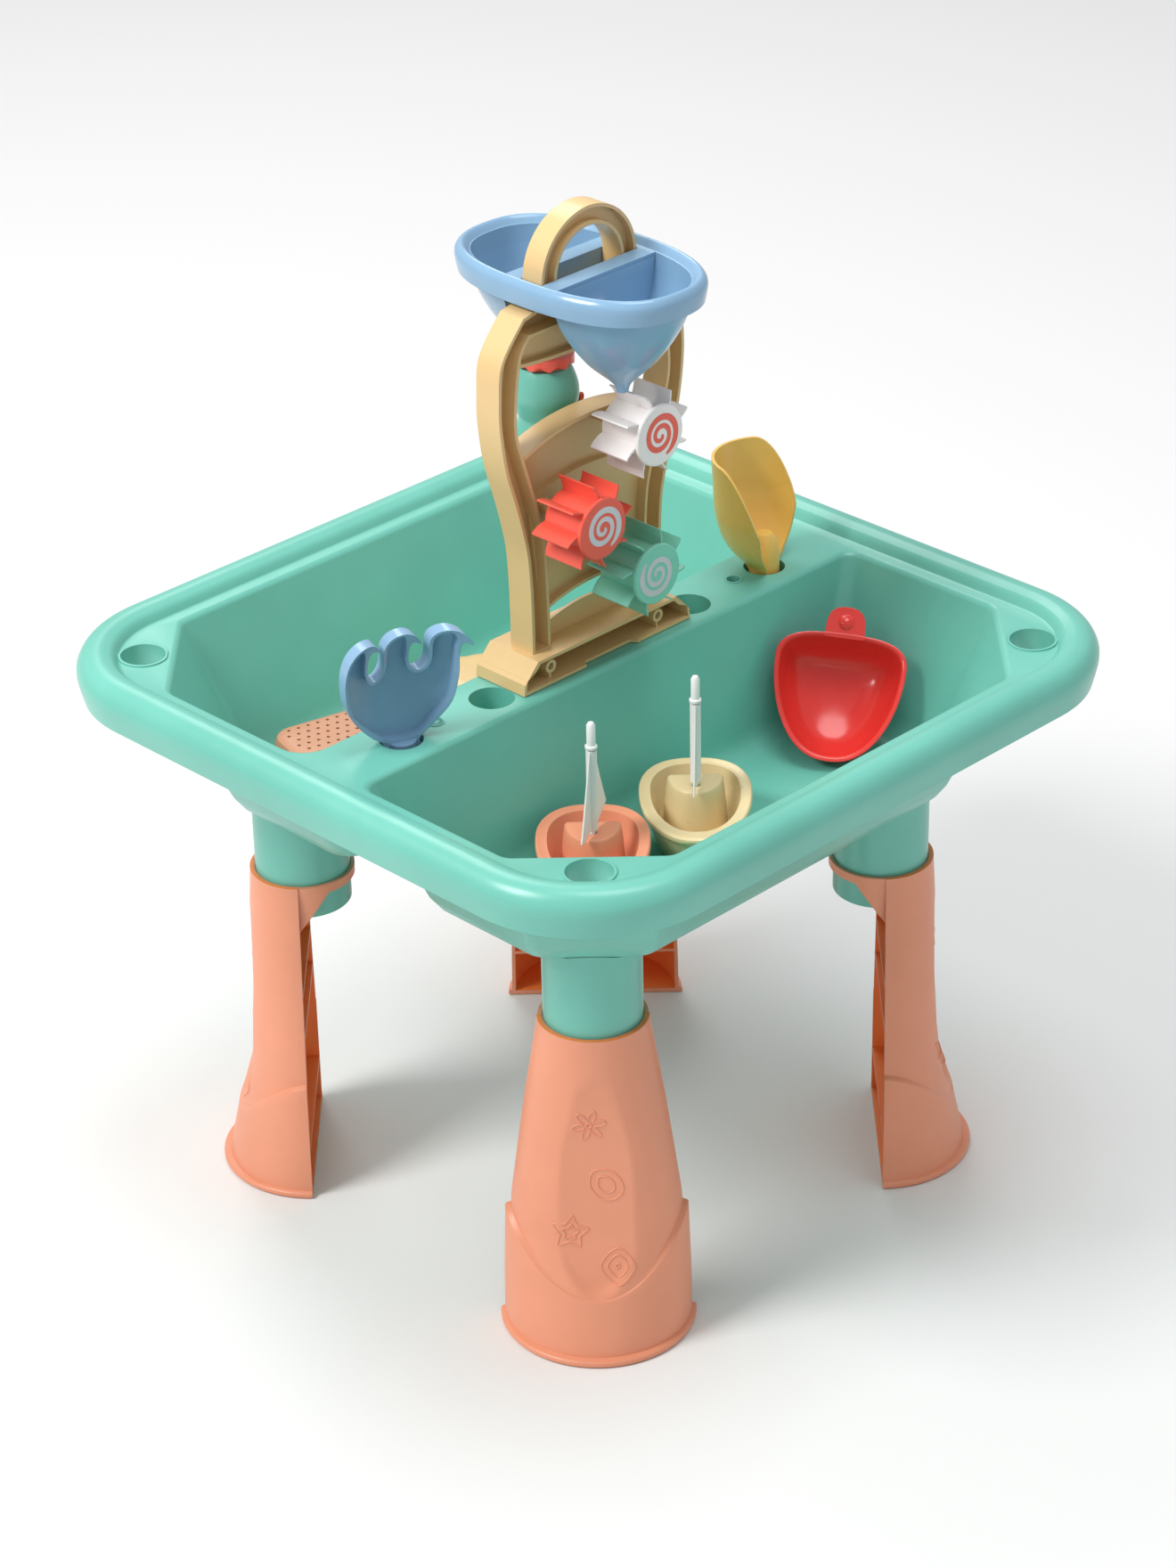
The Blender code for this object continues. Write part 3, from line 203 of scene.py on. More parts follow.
def mixed(tree, factor, first, second):
    return add(tree, "ShaderNodeMix", {0: factor, 6: first, 7: second}, data_type="RGBA").outputs[2]


def bump(tree, height, strength, distance, under):
    inputs = {"Strength": strength, "Distance": distance, "Height": height,
        "Normal": under.outputs["Normal"]}
    return add(tree, "ShaderNodeBump", inputs)


def tone(colour, scale, lift=0.0):
    return (*(min(1.0, c * scale + lift) for c in colour), 1.0)


def material(slot):
    """Injection-moulded plastic: faint swirl in the colour, fine grain, worn edges, handling marks."""
    found = bpy.data.materials.get("look_" + slot)
    if found:
        return found
    colour, gloss = LOOKS[slot]
    made = bpy.data.materials.new("look_" + slot)
    made.use_nodes = True
    tree = made.node_tree
    where = add(tree, "ShaderNodeTexCoord", {}).outputs["Object"]
    flow = noise(tree, where, 9.0, 4.0, 0.6)
    pale, deep = tone(colour, 1.05, 0.008), tone(colour, 0.94)
    body = mixed(tree, spread(tree, flow, 0.30, 0.70, 0.0, 1.0), deep, pale)
    edge = add(tree, "ShaderNodeNewGeometry", {}).outputs["Pointiness"]
    chips = noise(tree, where, 180.0, 2.0)
    rubbed = add(tree, "ShaderNodeMath", {
        0: spread(tree, edge, 0.64, 0.85, 0.0, 0.12),
        1: spread(tree, chips, 0.35, 0.60, 0.1, 1.0),
    }, operation="MULTIPLY")
    marks = noise(tree, where, 60.0, 2.0, 0.5)
    rounded = add(tree, "ShaderNodeBevel", {"Radius": 0.0005}, samples=4)
    soft = bump(tree, noise(tree, where, 14.0, 1.0), 0.008, 0.004, rounded)
    fine = bump(tree, noise(tree, where, 900.0, 1.0), 0.015, 0.00025, soft)
    fill(tree, tree.nodes["Principled BSDF"], {
        "Base Color": mixed(tree, rubbed.outputs["Value"], body, tone(colour, 0.70, 0.30)),
        "Roughness": spread(tree, marks, 0.15, 0.85, gloss - 0.03, gloss + 0.04),
        "Metallic": 1.0 if slot == "steel" else 0.0,
        "IOR": 1.50,
        "Normal": fine.outputs["Normal"],
    })
    return made


# ---------------------------------------------------------------- scene helpers
CUTTERS = bpy.data.collections.new("cutters")
bpy.context.scene.collection.children.link(CUTTERS)
CUTTERS.hide_render = True
FINE = 4
SHEET = 0.0020


def tidy_mesh(mesh):
    work = bmesh.new()
    work.from_mesh(mesh)
    bmesh.ops.remove_doubles(work, verts=work.verts, dist=2e-6)
    bmesh.ops.dissolve_degenerate(work, edges=work.edges, dist=1e-6)
    bmesh.ops.recalc_face_normals(work, faces=work.faces)
    work.to_mesh(mesh)
    work.free()
    return mesh


def finished(name, mesh, slot, body, at=(0, 0, 0), turn_deg=0.0, sharp=32, look=None):
    """A shown piece in its final place, smooth shaded, riding on its body."""
    obj = placed(name, mesh)
    obj.location = at
    obj.rotation_euler = (0, 0, math.radians(turn_deg))
    mesh.materials.clear()
    mesh.materials.append(material(look or slot))
    mesh.shade_smooth()
    mesh.set_sharp_from_angle(angle=math.radians(sharp))
    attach(obj, body)
    return obj


def part_object(name, mesh, slot, at=(0, 0, 0), turn_deg=0.0, sharp=32, look=None):
    """A piece that stands for the CAD node of the same name."""
    obj = finished(name + "_look", mesh, slot, BODY_OF[name], at, turn_deg, sharp, look)
    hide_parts(name)
    return obj


def evaluated(obj):
    """The object's mesh with its modifiers applied; the modifiers are then dropped."""
    bpy.context.view_layer.update()
    graph = bpy.context.evaluated_depsgraph_get()
    mesh = bpy.data.meshes.new_from_object(obj.evaluated_get(graph))
    obj.modifiers.clear()
    return mesh


def circle(count):
    """The angle, cosine and sine at count even steps round a circle."""
    angles = [2 * math.pi * k / count for k in range(count)]
    return [(angle, math.cos(angle), math.sin(angle)) for angle in angles]


def bent(value, power):
    """Power that keeps the sign, to square off or pinch a circle."""
    return math.copysign(abs(value) ** power, value)


def helper(name, mesh):
    """A wire helper used by a Boolean, never rendered."""
    obj = bpy.data.objects.new(name, mesh)
    CUTTERS.objects.link(obj)
    obj.hide_render = True
    return obj


def combine(name, steps):
    """Joins or cuts meshes in order with exact Booleans and returns the resulting mesh."""
    base = helper(name + "_base", steps[0][1])
    for count, (operation, mesh) in enumerate(steps[1:]):
        other = helper(f"{name}_{operation.lower()}_{count}", mesh)
        modifier = base.modifiers.new(f"{operation}_{count}", "BOOLEAN")
        modifier.operation = operation
        modifier.solver = "EXACT"
        modifier.object = other
    return tidy_mesh(evaluated(base))


def joined(name, meshes):
    """One mesh that holds several closed pieces, which may reach into each other."""
    work = bmesh.new()
    for mesh in meshes:
        work.from_mesh(mesh)
    result = bpy.data.meshes.new(name)
    work.to_mesh(result)
    work.free()
    return result


def shift(x, y, z):
    return Matrix.Translation((x, y, z))


def turn(degrees, axis):
    return Matrix.Rotation(math.radians(degrees), 4, axis)


def spline(points, per=6, closed=False):
    """Smooth curve through points of any dimension, per points to each span."""
    count = len(points)
    spans = count if closed else count - 1
    result = []
    for i in range(spans):
        if closed:
            picks = [points[(i + k) % count] for k in (-1, 0, 1, 2)]
        else:
            picks = [points[min(count - 1, max(0, i + k))] for k in (-1, 0, 1, 2)]
        for k in range(per):
            t = k / per
            spot = []
            for a, b, c, d in zip(*picks):
                value = 2 * b + (c - a) * t + (2 * a - 5 * b + 4 * c - d) * t * t
                value += (3 * b - a - 3 * c + d) * t ** 3
                spot.append(value / 2)
            result.append(tuple(spot))
    if not closed:
        result.append(tuple(points[-1]))
    return result


def smooth_at(table, at, reach=0.006):
    """Straight-line table rounded off at its corners."""
    picks = [at + reach * k / 3 for k in range(-3, 4)]
    return sum(interpolate(table, p) for p in picks) / len(picks)


def tube(name, path, radius, closed=True, sides=8, normal=(0, 0, 1)):
    """Round rod along a path of points, as a closed mesh."""
    count = len(path)
    rings = []
    for i, spot in enumerate(path):
        here = Vector(spot)
        if closed:
            along = Vector(path[(i + 1) % count]) - Vector(path[i - 1])
        else:
            along = Vector(path[min(count - 1, i + 1)]) - Vector(path[max(0, i - 1)])
        side = along.cross(Vector(normal)).normalized()
        up = side.cross(along).normalized()
        rings.append([here + side * (radius * c) + up * (radius * s) for _, c, s in circle(sides)])
    return loft(name, rings, around=closed)


# ---------------------------------------------------------------- driving sizes
TUB_HALF = 0.240
TUB_CORNER = 0.085
DECK_Z = 0.353
DECK_THICK = 0.0025
RIM_TOP_Z = 0.361
RIM_LOW_Z = 0.333
FLOOR_Z = 0.262
FLOOR_UNDER_Z = 0.2595
WALL = 0.0025
WALL_DRAFT = 0.4231
BASIN_HALF = 0.2060
CHAMFER_SUM = 0.3475
CHAMFER_DRAFT = 0.613
GAP = 0.0003

LEG_XY = 0.125
LEG_TOP_Z = 0.209
LEG_WALL = 0.0024
LEG_CUT_U = 0.0012
LEG_POINTS = 72
FOOT_OUT = 0.0590
FOOT_SIDE = 0.0585
SLEEVE_R = 0.0291
SLEEVE_LOW_Z = 0.1866

CORNER_HOLE_XY = 0.187
CORNER_HOLE_R = 0.0135
CUP_X = 0.083
CUP_Y = -0.004
CUP_R = 0.0136
SOCKET_X = 0.153
SOCKET_Y = -0.002
SOCKET_R = 0.0128
DIVIDER_SCREW_X = 0.126
DIVIDER_SCREW_Y = -0.001

COLUMN_Y = 0.0092
ARCH_Y = 0.0077
ARCH_R = 0.038
ARCH_INNER_R = 0.026
ARCH_Z = 0.5965
FRAME_TOP_Z = 0.586
WEB_FRONT_Y = 0.001
WEB_BACK_Y = 0.003
GROOVE = 0.0021
BASE_SCREW_X = 0.045
BASE_SCREW_Z = 0.3632

TRAY_HALF_X = 0.0505
TRAY_HALF_Y = 0.0814
TRAY_TOP_Z = 0.602
NOZZLE_Y = 0.0325
TRAY_POWER = 2.5

WHEEL_FRONT_Y = -0.0470
WHEEL_BACK_Y = -0.0180
SWIRL_FRONT_Y = -0.04985
SWIRL_BACK_Y = -0.04965
WHEELS = {
    "white": (0.013, 0.502, 10.0),
    "red": (-0.0345, 0.4596, 0.0),
    "teal": (0.0094, 0.415, 24.0),
}

BOATS = {
    "coral": (-0.0831, -0.0854, -45.0),
    "cream": (-0.0019, -0.0899, -45.0),
}


# ---------------------------------------------------------------- shape helpers
def loft(name, rings, around=False):
    """Closed body through rings of equal count. around=True joins the last ring to the first."""
    count = len(rings[0])
    points = [Vector(p) for ring in rings for p in ring]
    faces = []
    last = len(rings) if around else len(rings) - 1
    for row in range(last):
        a = row * count
        b = ((row + 1) % len(rings)) * count
        for i in range(count):
            j = (i + 1) % count
            faces.append((a + i, a + j, b + j, b + i))
    if not around:
        faces.append(tuple(range(count))[::-1])
        faces.append(tuple((len(rings) - 1) * count + i for i in range(count)))
    mesh = bpy.data.meshes.new(name)
    mesh.from_pydata(points, [], faces)
    return tidy_mesh(mesh)


def shell(name, grid, thickness, offset=0.0, closed=False):
    """Open surface given as rows of points, thickened with Solidify."""
    rows = len(grid)
    cols = len(grid[0])
    points = [Vector(p) for row in grid for p in row]
    faces = []
    for r in range(rows - 1):
        for c in range(cols if closed else cols - 1):
            d = (c + 1) % cols
            faces.append((r * cols + c, r * cols + d, (r + 1) * cols + d, (r + 1) * cols + c))
    mesh = bpy.data.meshes.new(name)
    mesh.from_pydata(points, [], faces)
    work = bmesh.new()
    work.from_mesh(mesh)
    bmesh.ops.remove_doubles(work, verts=work.verts, dist=1e-6)
    bmesh.ops.recalc_face_normals(work, faces=work.faces)
    work.to_mesh(mesh)
    work.free()
    obj = helper(name + "_sheet", mesh)
    modifier = obj.modifiers.new("thickness", "SOLIDIFY")
    modifier.thickness = thickness
    modifier.offset = offset
    modifier.use_even_offset = True
    return tidy_mesh(evaluated(obj))


def turned(name, profile, steps=24, at=(0, 0, 0), along="Z"):
    """Profile of (radius, height) turned about an axis with a Screw modifier."""
    mesh = bpy.data.meshes.new(name + "_profile")
    points = [(r, 0.0, z) for r, z in profile]
    closed = profile[0][0] > 1e-6
    edges = [(i, i + 1) for i in range(len(points) - 1)]
    if closed:
        edges.append((len(points) - 1, 0))
    mesh.from_pydata(points, edges, [])
    obj = helper(name + "_turned", mesh)
    modifier = obj.modifiers.new("screw", "SCREW")
    modifier.steps = modifier.render_steps = steps * FINE
    modifier.use_merge_vertices = True
    modifier.merge_threshold = 0.00001
    solid = evaluated(obj)
    if along != "Z":
        solid.transform(turn(90, "X" if along == "Y" else "Y"))
    solid.transform(shift(*at))
    return tidy_mesh(solid)


def disc_profile(radius, low, high):
    return [(0, high), (radius, high), (radius, low), (0, low)]


def tube_profile(outer, inner, low, high):
    return [(outer, high), (outer, low), (inner, low), (inner, high)]


def plate(name, outlines, low, high, upright=False):
    """Flat outlines filled as a 2D curve and extruded from low to high.

    upright: the outline is (x, z) and the extrusion runs along Y.
    """
    curve = bpy.data.curves.new(name, "CURVE")
    curve.dimensions = "2D"
    curve.fill_mode = "BOTH"
    curve.extrude = (high - low) / 2
    for outline in outlines:
        trace = curve.splines.new("POLY")
        trace.points.add(len(outline) - 1)
        for point, (a, b) in zip(trace.points, outline):
            point.co = (a, b, 0, 1)
        trace.use_cyclic_u = True
    obj = bpy.data.objects.new(name + "_outline", curve)
    CUTTERS.objects.link(obj)
    mesh = evaluated(obj)
    bpy.data.objects.remove(obj, do_unlink=True)
    if upright:
        mesh.transform(shift(0, (low + high) / 2, 0) @ turn(90, "X"))
    else:
        mesh.transform(shift(0, 0, (low + high) / 2))
    return tidy_mesh(mesh)


def box(name, low, high):
    mesh = bpy.data.meshes.new(name)
    work = bmesh.new()
    bmesh.ops.create_cube(work, size=1.0)
    size = [h - l for l, h in zip(low, high)]
    centre = [(h + l) / 2 for l, h in zip(low, high)]
    bmesh.ops.scale(work, vec=size, verts=work.verts)
    bmesh.ops.translate(work, vec=centre, verts=work.verts)
    work.to_mesh(mesh)
    work.free()
    return mesh


def rounded_corners(corners, radii, steps):
    """Polygon with each corner replaced by an arc of steps + 1 points."""
    result = []
    count = len(corners)
    for i in range(count):
        corner = Vector(corners[i])
        before = (Vector(corners[i - 1]) - corner).normalized()
        after = (Vector(corners[(i + 1) % count]) - corner).normalized()
        half = before.angle(after) / 2
        reach = radii[i] / math.tan(half)
        start = corner + before * reach
        centre = corner + (before + after).normalized() * (radii[i] / math.sin(half))
        first = start - centre
        last = corner + after * reach - centre
        sweep = first.angle_signed(last)
        for k in range(steps + 1):
            angle = -sweep * k / steps
            c, s = math.cos(angle), math.sin(angle)
            spot = centre + Vector((first.x * c - first.y * s, first.x * s + first.y * c))
            result.append((spot.x, spot.y))
    return result


def arc(centre, radius, start_deg, end_deg, steps):
    spots = []
    for k in range(steps + 1):
        angle = math.radians(start_deg + (end_deg - start_deg) * k / steps)
        spots.append((centre[0] + radius * math.cos(angle), centre[1] + radius * math.sin(angle)))
    return spots


def offset_polygon(outline, distance):
    """Moves every edge of a closed outline inward (anticlockwise outline, positive distance)."""
    count = len(outline)
    result = []
    for i in range(count):
        here = Vector(outline[i])
        before = (here - Vector(outline[i - 1])).normalized()
        after = (Vector(outline[(i + 1) % count]) - here).normalized()
        normal_a = Vector((-before.y, before.x))
        normal_b = Vector((-after.y, after.x))
        middle = (normal_a + normal_b).normalized()
        reach = distance / max(0.35, middle.dot(normal_a))
        spot = here + middle * reach
        result.append((spot.x, spot.y))
    return result


def interpolate(table, at):
    """Straight-line interpolation in a list of (position, value), position rising."""
    if at <= table[0][0]:
        return table[0][1]
    for (a, va), (b, vb) in zip(table, table[1:]):
        if at <= b:
            return va + (vb - va) * (at - a) / (b - a)
    return table[-1][1]


# ---------------------------------------------------------------- tub
def rounded_square(inset, z, steps=24):
    half = TUB_HALF - inset
    corners = [(half, -half), (half, half), (-half, half), (-half, -half)]
    outline = rounded_corners(corners, [TUB_CORNER - inset] * 4, steps)
    return [(x, y, z) for x, y in outline]


def rim_and_deck():
    outer = [(0.0030, 0.3330), (0.0000, 0.3470), (0.0014, 0.3540), (0.0062, 0.3593)]
    outer += [(0.0135, RIM_TOP_Z), (0.0205, 0.3588)]
    outer = [(max(0.0, inset), z) for inset, z in spline(outer, 5)]
    outer += [(0.0228, 0.3568), (0.0240, 0.3546), (0.0248, 0.3535), (0.0262, DECK_Z)]
    under = [(0.0270, DECK_Z - DECK_THICK), (0.0190, 0.3560), (0.0135, 0.3584), (0.0074, 0.3568)]
    under += [(0.0028, 0.3470), (0.0055, RIM_LOW_Z)]
    rings = [rounded_square(inset, z) for inset, z in under + outer]
    return loft("rim_and_deck", rings)


def basin_ring(side, z, spread=0.0, drop=None):
    """Plan outline of one basin at height z; spread moves the walls outward."""
    down = DECK_Z - (z if drop is None else drop)
    half = BASIN_HALF - WALL_DRAFT * down + spread
    slope_sum = CHAMFER_SUM - CHAMFER_DRAFT * down + spread * 1.4142
    if side > 0:
        near = 0.0235 + 0.074 * down - spread
        near_radius = 0.018
    else:
        near = 0.0255 + 0.185 * down - spread
        near_radius = 0.010
    cross = slope_sum - half
    corners = [(-half, near), (half, near), (half, cross), (cross, half), (-cross, half), (-half, cross)]
    radii = [near_radius, near_radius, 0.012, 0.012, 0.012, 0.012]
    outline = rounded_corners(corners, radii, 8)
    return [(x, y * side, z) for x, y in outline]


def basin_inner(side):
    rings = [basin_ring(side, 0.3600, 0.0044, DECK_Z)]
    for k in range(7):
        angle = math.radians(15 * k)
        rings.append(basin_ring(side, 0.3500 + 0.0033 * math.cos(angle), 0.0040 * (1 - math.sin(angle))))
    for z, spread in spline([(0.2745, 0.0), (0.2698, -0.0008), (0.2660, -0.0028), (0.2634, -0.0060)], 3):
        rings.append(basin_ring(side, z, spread))
    rings.append(basin_ring(side, 0.2623, -0.0088, 0.2630))
    rings.append(basin_ring(side, FLOOR_Z, -0.0118, 0.2632))
    return loft(f"basin_inner_{side}", rings)


def basin_outer(side, grow=0.0, name="outer"):
    rings = [
        basin_ring(side, 0.3515, WALL + grow),
        basin_ring(side, 0.2740, WALL + grow),
        basin_ring(side, 0.2655, WALL - 0.0022 + grow),
        basin_ring(side, 0.2612 - grow, WALL - 0.0065 + grow),
        basin_ring(side, FLOOR_UNDER_Z - grow, WALL - 0.0120 + grow, 0.2612),
    ]
    return loft(f"basin_{name}_{side}", rings)


def tub_holes():
    """Each hole of the deck: its place, the collar added round it, the bore cut from it, and the fineness."""
    holes = []
    collar = disc_profile(CORNER_HOLE_R + 0.0016, 0.339, DECK_Z + 0.0009)
    for sx in (1, -1):
        for sy in (1, -1):
            spot = (sx * CORNER_HOLE_XY, sy * CORNER_HOLE_XY, 0)
            holes.append((spot, collar, disc_profile(CORNER_HOLE_R, 0.3302, 0.3583), 16))
    cup = disc_profile(CUP_R + 0.002, 0.333, DECK_Z - 0.001), disc_profile(CUP_R, 0.3351, 0.3581)
    socket = disc_profile(SOCKET_R + 0.002, 0.324, DECK_Z - 0.001), disc_profile(SOCKET_R, 0.326, 0.358)
    boss = disc_profile(0.0058, 0.340, DECK_Z + 0.0005)
    well = [(0, 0.3577), (0.0042, 0.3577), (0.0042, 0.3470), (0.0022, 0.3466), (0.0022, 0.334), (0, 0.334)]
    for side in (1, -1):
        holes.append(((side * CUP_X, CUP_Y, 0), *cup, 16))
        holes.append(((side * SOCKET_X, SOCKET_Y, 0), *socket, 16))
        holes.append(((side * DIVIDER_SCREW_X, DIVIDER_SCREW_Y, 0), boss, well, 12))
    return holes


def build_tub():
    steps = [("BASE", rim_and_deck())] + [("UNION", basin_outer(side)) for side in (1, -1)]
    steps += [("UNION", turned("collar", collar, fine, spot)) for spot, collar, _, fine in tub_holes()]
    steps += [("DIFFERENCE", turned("bore", bore, fine, spot)) for spot, _, bore, fine in tub_holes()]
    steps += [("DIFFERENCE", basin_inner(side)) for side in (1, -1)]
    part_object("tub", combine("tub", steps), "teal")


def build_divider_screws():
    profile = [(0, 0.3495), (0.0034, 0.3488), (0.0034, 0.3474), (0.0015, 0.3474), (0, 0.3360)]
    for name, side in (("divider_screw_right", 1), ("divider_screw_left", -1)):
        spot = (side * DIVIDER_SCREW_X, DIVIDER_SCREW_Y, 0)
        mesh = turned(name, profile, 8)
        part_object(name, mesh, "steel", spot)


# ---------------------------------------------------------------- legs
LEGS = {"front": (-1, -1), "left": (-1, 1), "right": (1, -1), "back": (1, 1)}


def build_sleeves():
    for name, (sx, sy) in LEGS.items():
        pipe = turned(f"sleeve_{name}", tube_profile(SLEEVE_R, SLEEVE_R - 0.0022, SLEEVE_LOW_Z, 0.2655), 16)
        pipe.transform(shift(sx * LEG_XY, sy * LEG_XY, 0))
        basin = basin_outer(sy, GAP, f"trim_{name}")
        mesh = combine(f"sleeve_{name}", [("BASE", pipe), ("DIFFERENCE", basin)])
        mesh.transform(shift(-sx * LEG_XY, -sy * LEG_XY, 0))
        part_object(f"leg_sleeve_{name}", mesh, "teal", (sx * LEG_XY, sy * LEG_XY, 0))


SIDE_WIDTH = [(0.0, 0.0525), (0.0845, 0.0505), (0.090, 0.0497), (0.153, 0.0412), (0.209, 0.0323)]
FRONT_REACH = [(0.0, 0.0500), (0.040, 0.0475), (0.060, 0.0440), (0.078, 0.0405), (0.110, 0.0390)]
FRONT_REACH += [(0.150, 0.0360), (0.175, 0.0345), (0.209, 0.0323)]
PANEL_REACH = [(0.0, 0.0440), (0.045, 0.0430), (0.060, 0.0400), (0.078, 0.0370), (0.110, 0.0350)]
PANEL_REACH += [(0.137, 0.0335), (0.185, 0.0335)]
SKIRT_WIDTH = [(0.0, 0.0560), (0.030, 0.0557), (0.0505, 0.0550), (0.080, 0.0540)]
SKIRT_REACH = [(0.0, 0.0565), (0.0175, 0.0530), (0.0355, 0.0490), (0.080, 0.0420)]


def leg_point(z, angle, skirt, inset):
    """Point of the leg surface: angle 0 is straight outward, +-90 degrees the two sides."""
    width = smooth_at(SKIRT_WIDTH if skirt else SIDE_WIDTH, z) - inset
    reach = smooth_at(SKIRT_REACH if skirt else FRONT_REACH, z) - inset
    u = LEG_CUT_U + (reach - LEG_CUT_U) * math.cos(angle)
    v = width * math.sin(angle)
    if not skirt:
        inside = 1 - math.sqrt((v / 0.0295) ** 2 + ((z - 0.112) / 0.073) ** 2)
        share = min(1.0, max(0.0, inside / 0.10))
        share = share * share * (3 - 2 * share)
        sunk = min(u, smooth_at(PANEL_REACH, z) - inset - 0.0004)
        u = u + (sunk - u) * share
    return (u, v, z)


def skirt_border(angle):
    return 0.0395 + 0.0390 * math.sin(angle) ** 2


def leg_angles():
    return [math.radians(-90 + 180 * k / LEG_POINTS) for k in range(LEG_POINTS + 1)]


def leg_ring(height, skirt=False, edge=0.0):
    """One loop round the shell; height gives z for each angle, edge pulls the outside in."""
    ring = [leg_point(height(a), a, skirt, edge) for a in leg_angles()]
    ring += [leg_point(height(a), a, skirt, LEG_WALL) for a in reversed(leg_angles())]
    return ring


def foot_ring(z, grow, inner):
    ring = []
    for a in leg_angles():
        ring.append((LEG_CUT_U + (FOOT_OUT + grow) * math.cos(a), (FOOT_SIDE + grow) * math.sin(a), z))
    ring += [leg_point(z, a, True, inner) for a in reversed(leg_angles())]
    return ring


def upper_leg_z(angle, share):
    low = skirt_border(angle) + 0.0009
    return low + (LEG_TOP_Z - low) * share


def leg_shell():
    rings = [foot_ring(0.0, -0.0008, LEG_WALL), foot_ring(0.0007, -0.0001, LEG_WALL)]
    rings += [foot_ring(0.0016, 0.0, LEG_WALL), foot_ring(0.0030, -0.0002, LEG_WALL)]
    rings.append(foot_ring(0.0038, -0.0010, LEG_WALL))
    for k in range(13):
        rings.append(leg_ring(lambda a, s=k / 12: 0.0042 + (skirt_border(a) - 0.0058) * s, True))
    rings.append(leg_ring(lambda a: skirt_border(a) - 0.0006, True, 0.0003))
    rings.append(leg_ring(skirt_border, True, 0.0011))
    for k in range(61):
        rings.append(leg_ring(lambda a, s=k / 60: upper_leg_z(a, s)))
    return loft("leg_shell", rings)


def leg_front_u(z, v):
    """How far out the sunk front panel is at a height and sideways place."""
    width = smooth_at(SIDE_WIDTH, z)
    angle = math.asin(max(-1.0, min(1.0, v / width)))
    return leg_point(z, angle, False, 0.0)[0]


def petal(count, outer, inner, turn_deg=0.0, steps=72):
    loop = []
    for angle, _, _ in circle(steps):
        share = 0.5 + 0.5 * math.cos(count * angle)
        radius = inner + (outer - inner) * share ** 0.8
        spot = angle + math.radians(turn_deg)
        loop.append((radius * math.cos(spot), radius * math.sin(spot)))
    return loop


def star(outer, inner, turn_deg=0.0):
    corners = []
    for k in range(10):
        angle = math.radians(turn_deg + 36 * k)
        radius = outer if k % 2 == 0 else inner
        corners.append((radius * math.cos(angle), radius * math.sin(angle)))
    return rounded_corners(corners[::-1], [0.0006] * 10, 3)


def oval(half_x, half_y, power=2.0, dent=0.0, turn_deg=0.0, steps=48):
    loop = []
    t = math.radians(turn_deg)
    for _, c, s in circle(steps):
        x = half_x * bent(c, 2 / power)
        y = half_y * bent(s, 2 / power) * (1 - dent * max(0.0, c) ** 2)
        loop.append((x * math.cos(t) - y * math.sin(t), x * math.sin(t) + y * math.cos(t)))
    return loop


LEG_SIGNS = [
    ("flower", -0.0037, 0.1530, [petal(6, 0.0100, 0.0030, 12), oval(0.0016, 0.0016)]),
    ("bean", 0.0055, 0.1130, [oval(0.0112, 0.0088, 2.3, 0.35, 125), oval(0.0062, 0.0046, 2.0, 0.35, 125)]),
    ("star", -0.0156, 0.0810, [star(0.0118, 0.0062, 12), star(0.0058, 0.0030, 12)]),
    ("gem", 0.0118, 0.0590, [oval(0.0100, 0.0112, 1.45), oval(0.0060, 0.0070, 1.45), oval(0.0011, 0.0013)]),
]


def build_leg_signs():
    """Thin raised outlines moulded on the sunk panel of each leg."""
    for leg, (sx, sy) in LEGS.items():
        angle = math.degrees(math.atan2(sy, sx))
        for sign, lateral, height, loops in LEG_SIGNS:
            for count, loop in enumerate(loops):
                path = []
                for a, b in loop:
                    v = lateral + a
                    z = height + b
                    path.append((leg_front_u(z, v) - 0.00005, v, z))
                mesh = tube(f"sign_{sign}", path, 0.00060, True, 8, (1, 0, 0))
                name = f"leg_{leg}_sign_{sign}_{count}"
                at = (sx * LEG_XY, sy * LEG_XY, 0)
                finished(name, mesh, "coral", BODY_OF[f"leg_{leg}"], at, angle, 80)


def half_floor(name, low, high, skirt):
    angles = [math.radians(-90 + 180 * k / 36) for k in range(37)]
    rings = []
    for z in (low, high):
        rings.append([leg_point(z, a, skirt, 0.0012) for a in angles])
    return loft(name, rings)


def leg_mesh():
    hood = turned("hood", tube_profile(0.0319, 0.0288, 0.170, LEG_TOP_Z - 0.0001), 16)
    seat = turned("seat", tube_profile(0.0300, 0.0235, 0.1838, 0.1862), 16)
    slant = box("slant", (-0.08, -0.05, -0.08), (0.08, 0.05, 0.0))
    slant.transform(shift(LEG_CUT_U, 0, 0.178) @ turn(54, "Y"))
    steps = [
        ("BASE", leg_shell()),
        ("UNION", combine("hood", [("BASE", hood), ("UNION", seat), ("DIFFERENCE", slant)])),
        ("UNION", turned("collar", tube_profile(0.0317, 0.0286, 0.2030, LEG_TOP_Z - 0.0002), 16)),
    ]
    steps += [("UNION", half_floor("rib", z - 0.001, z + 0.001, False)) for z in (0.137, 0.109)]
    floors = ((0.0, 0.003), (0.0318, 0.0338))
    steps += [("UNION", half_floor("floor", low, high, True)) for low, high in floors]
    steps.append(("DIFFERENCE", turned("bore", disc_profile(SLEEVE_R + GAP, 0.1862, 0.2200), 16)))
    return combine("leg", steps)


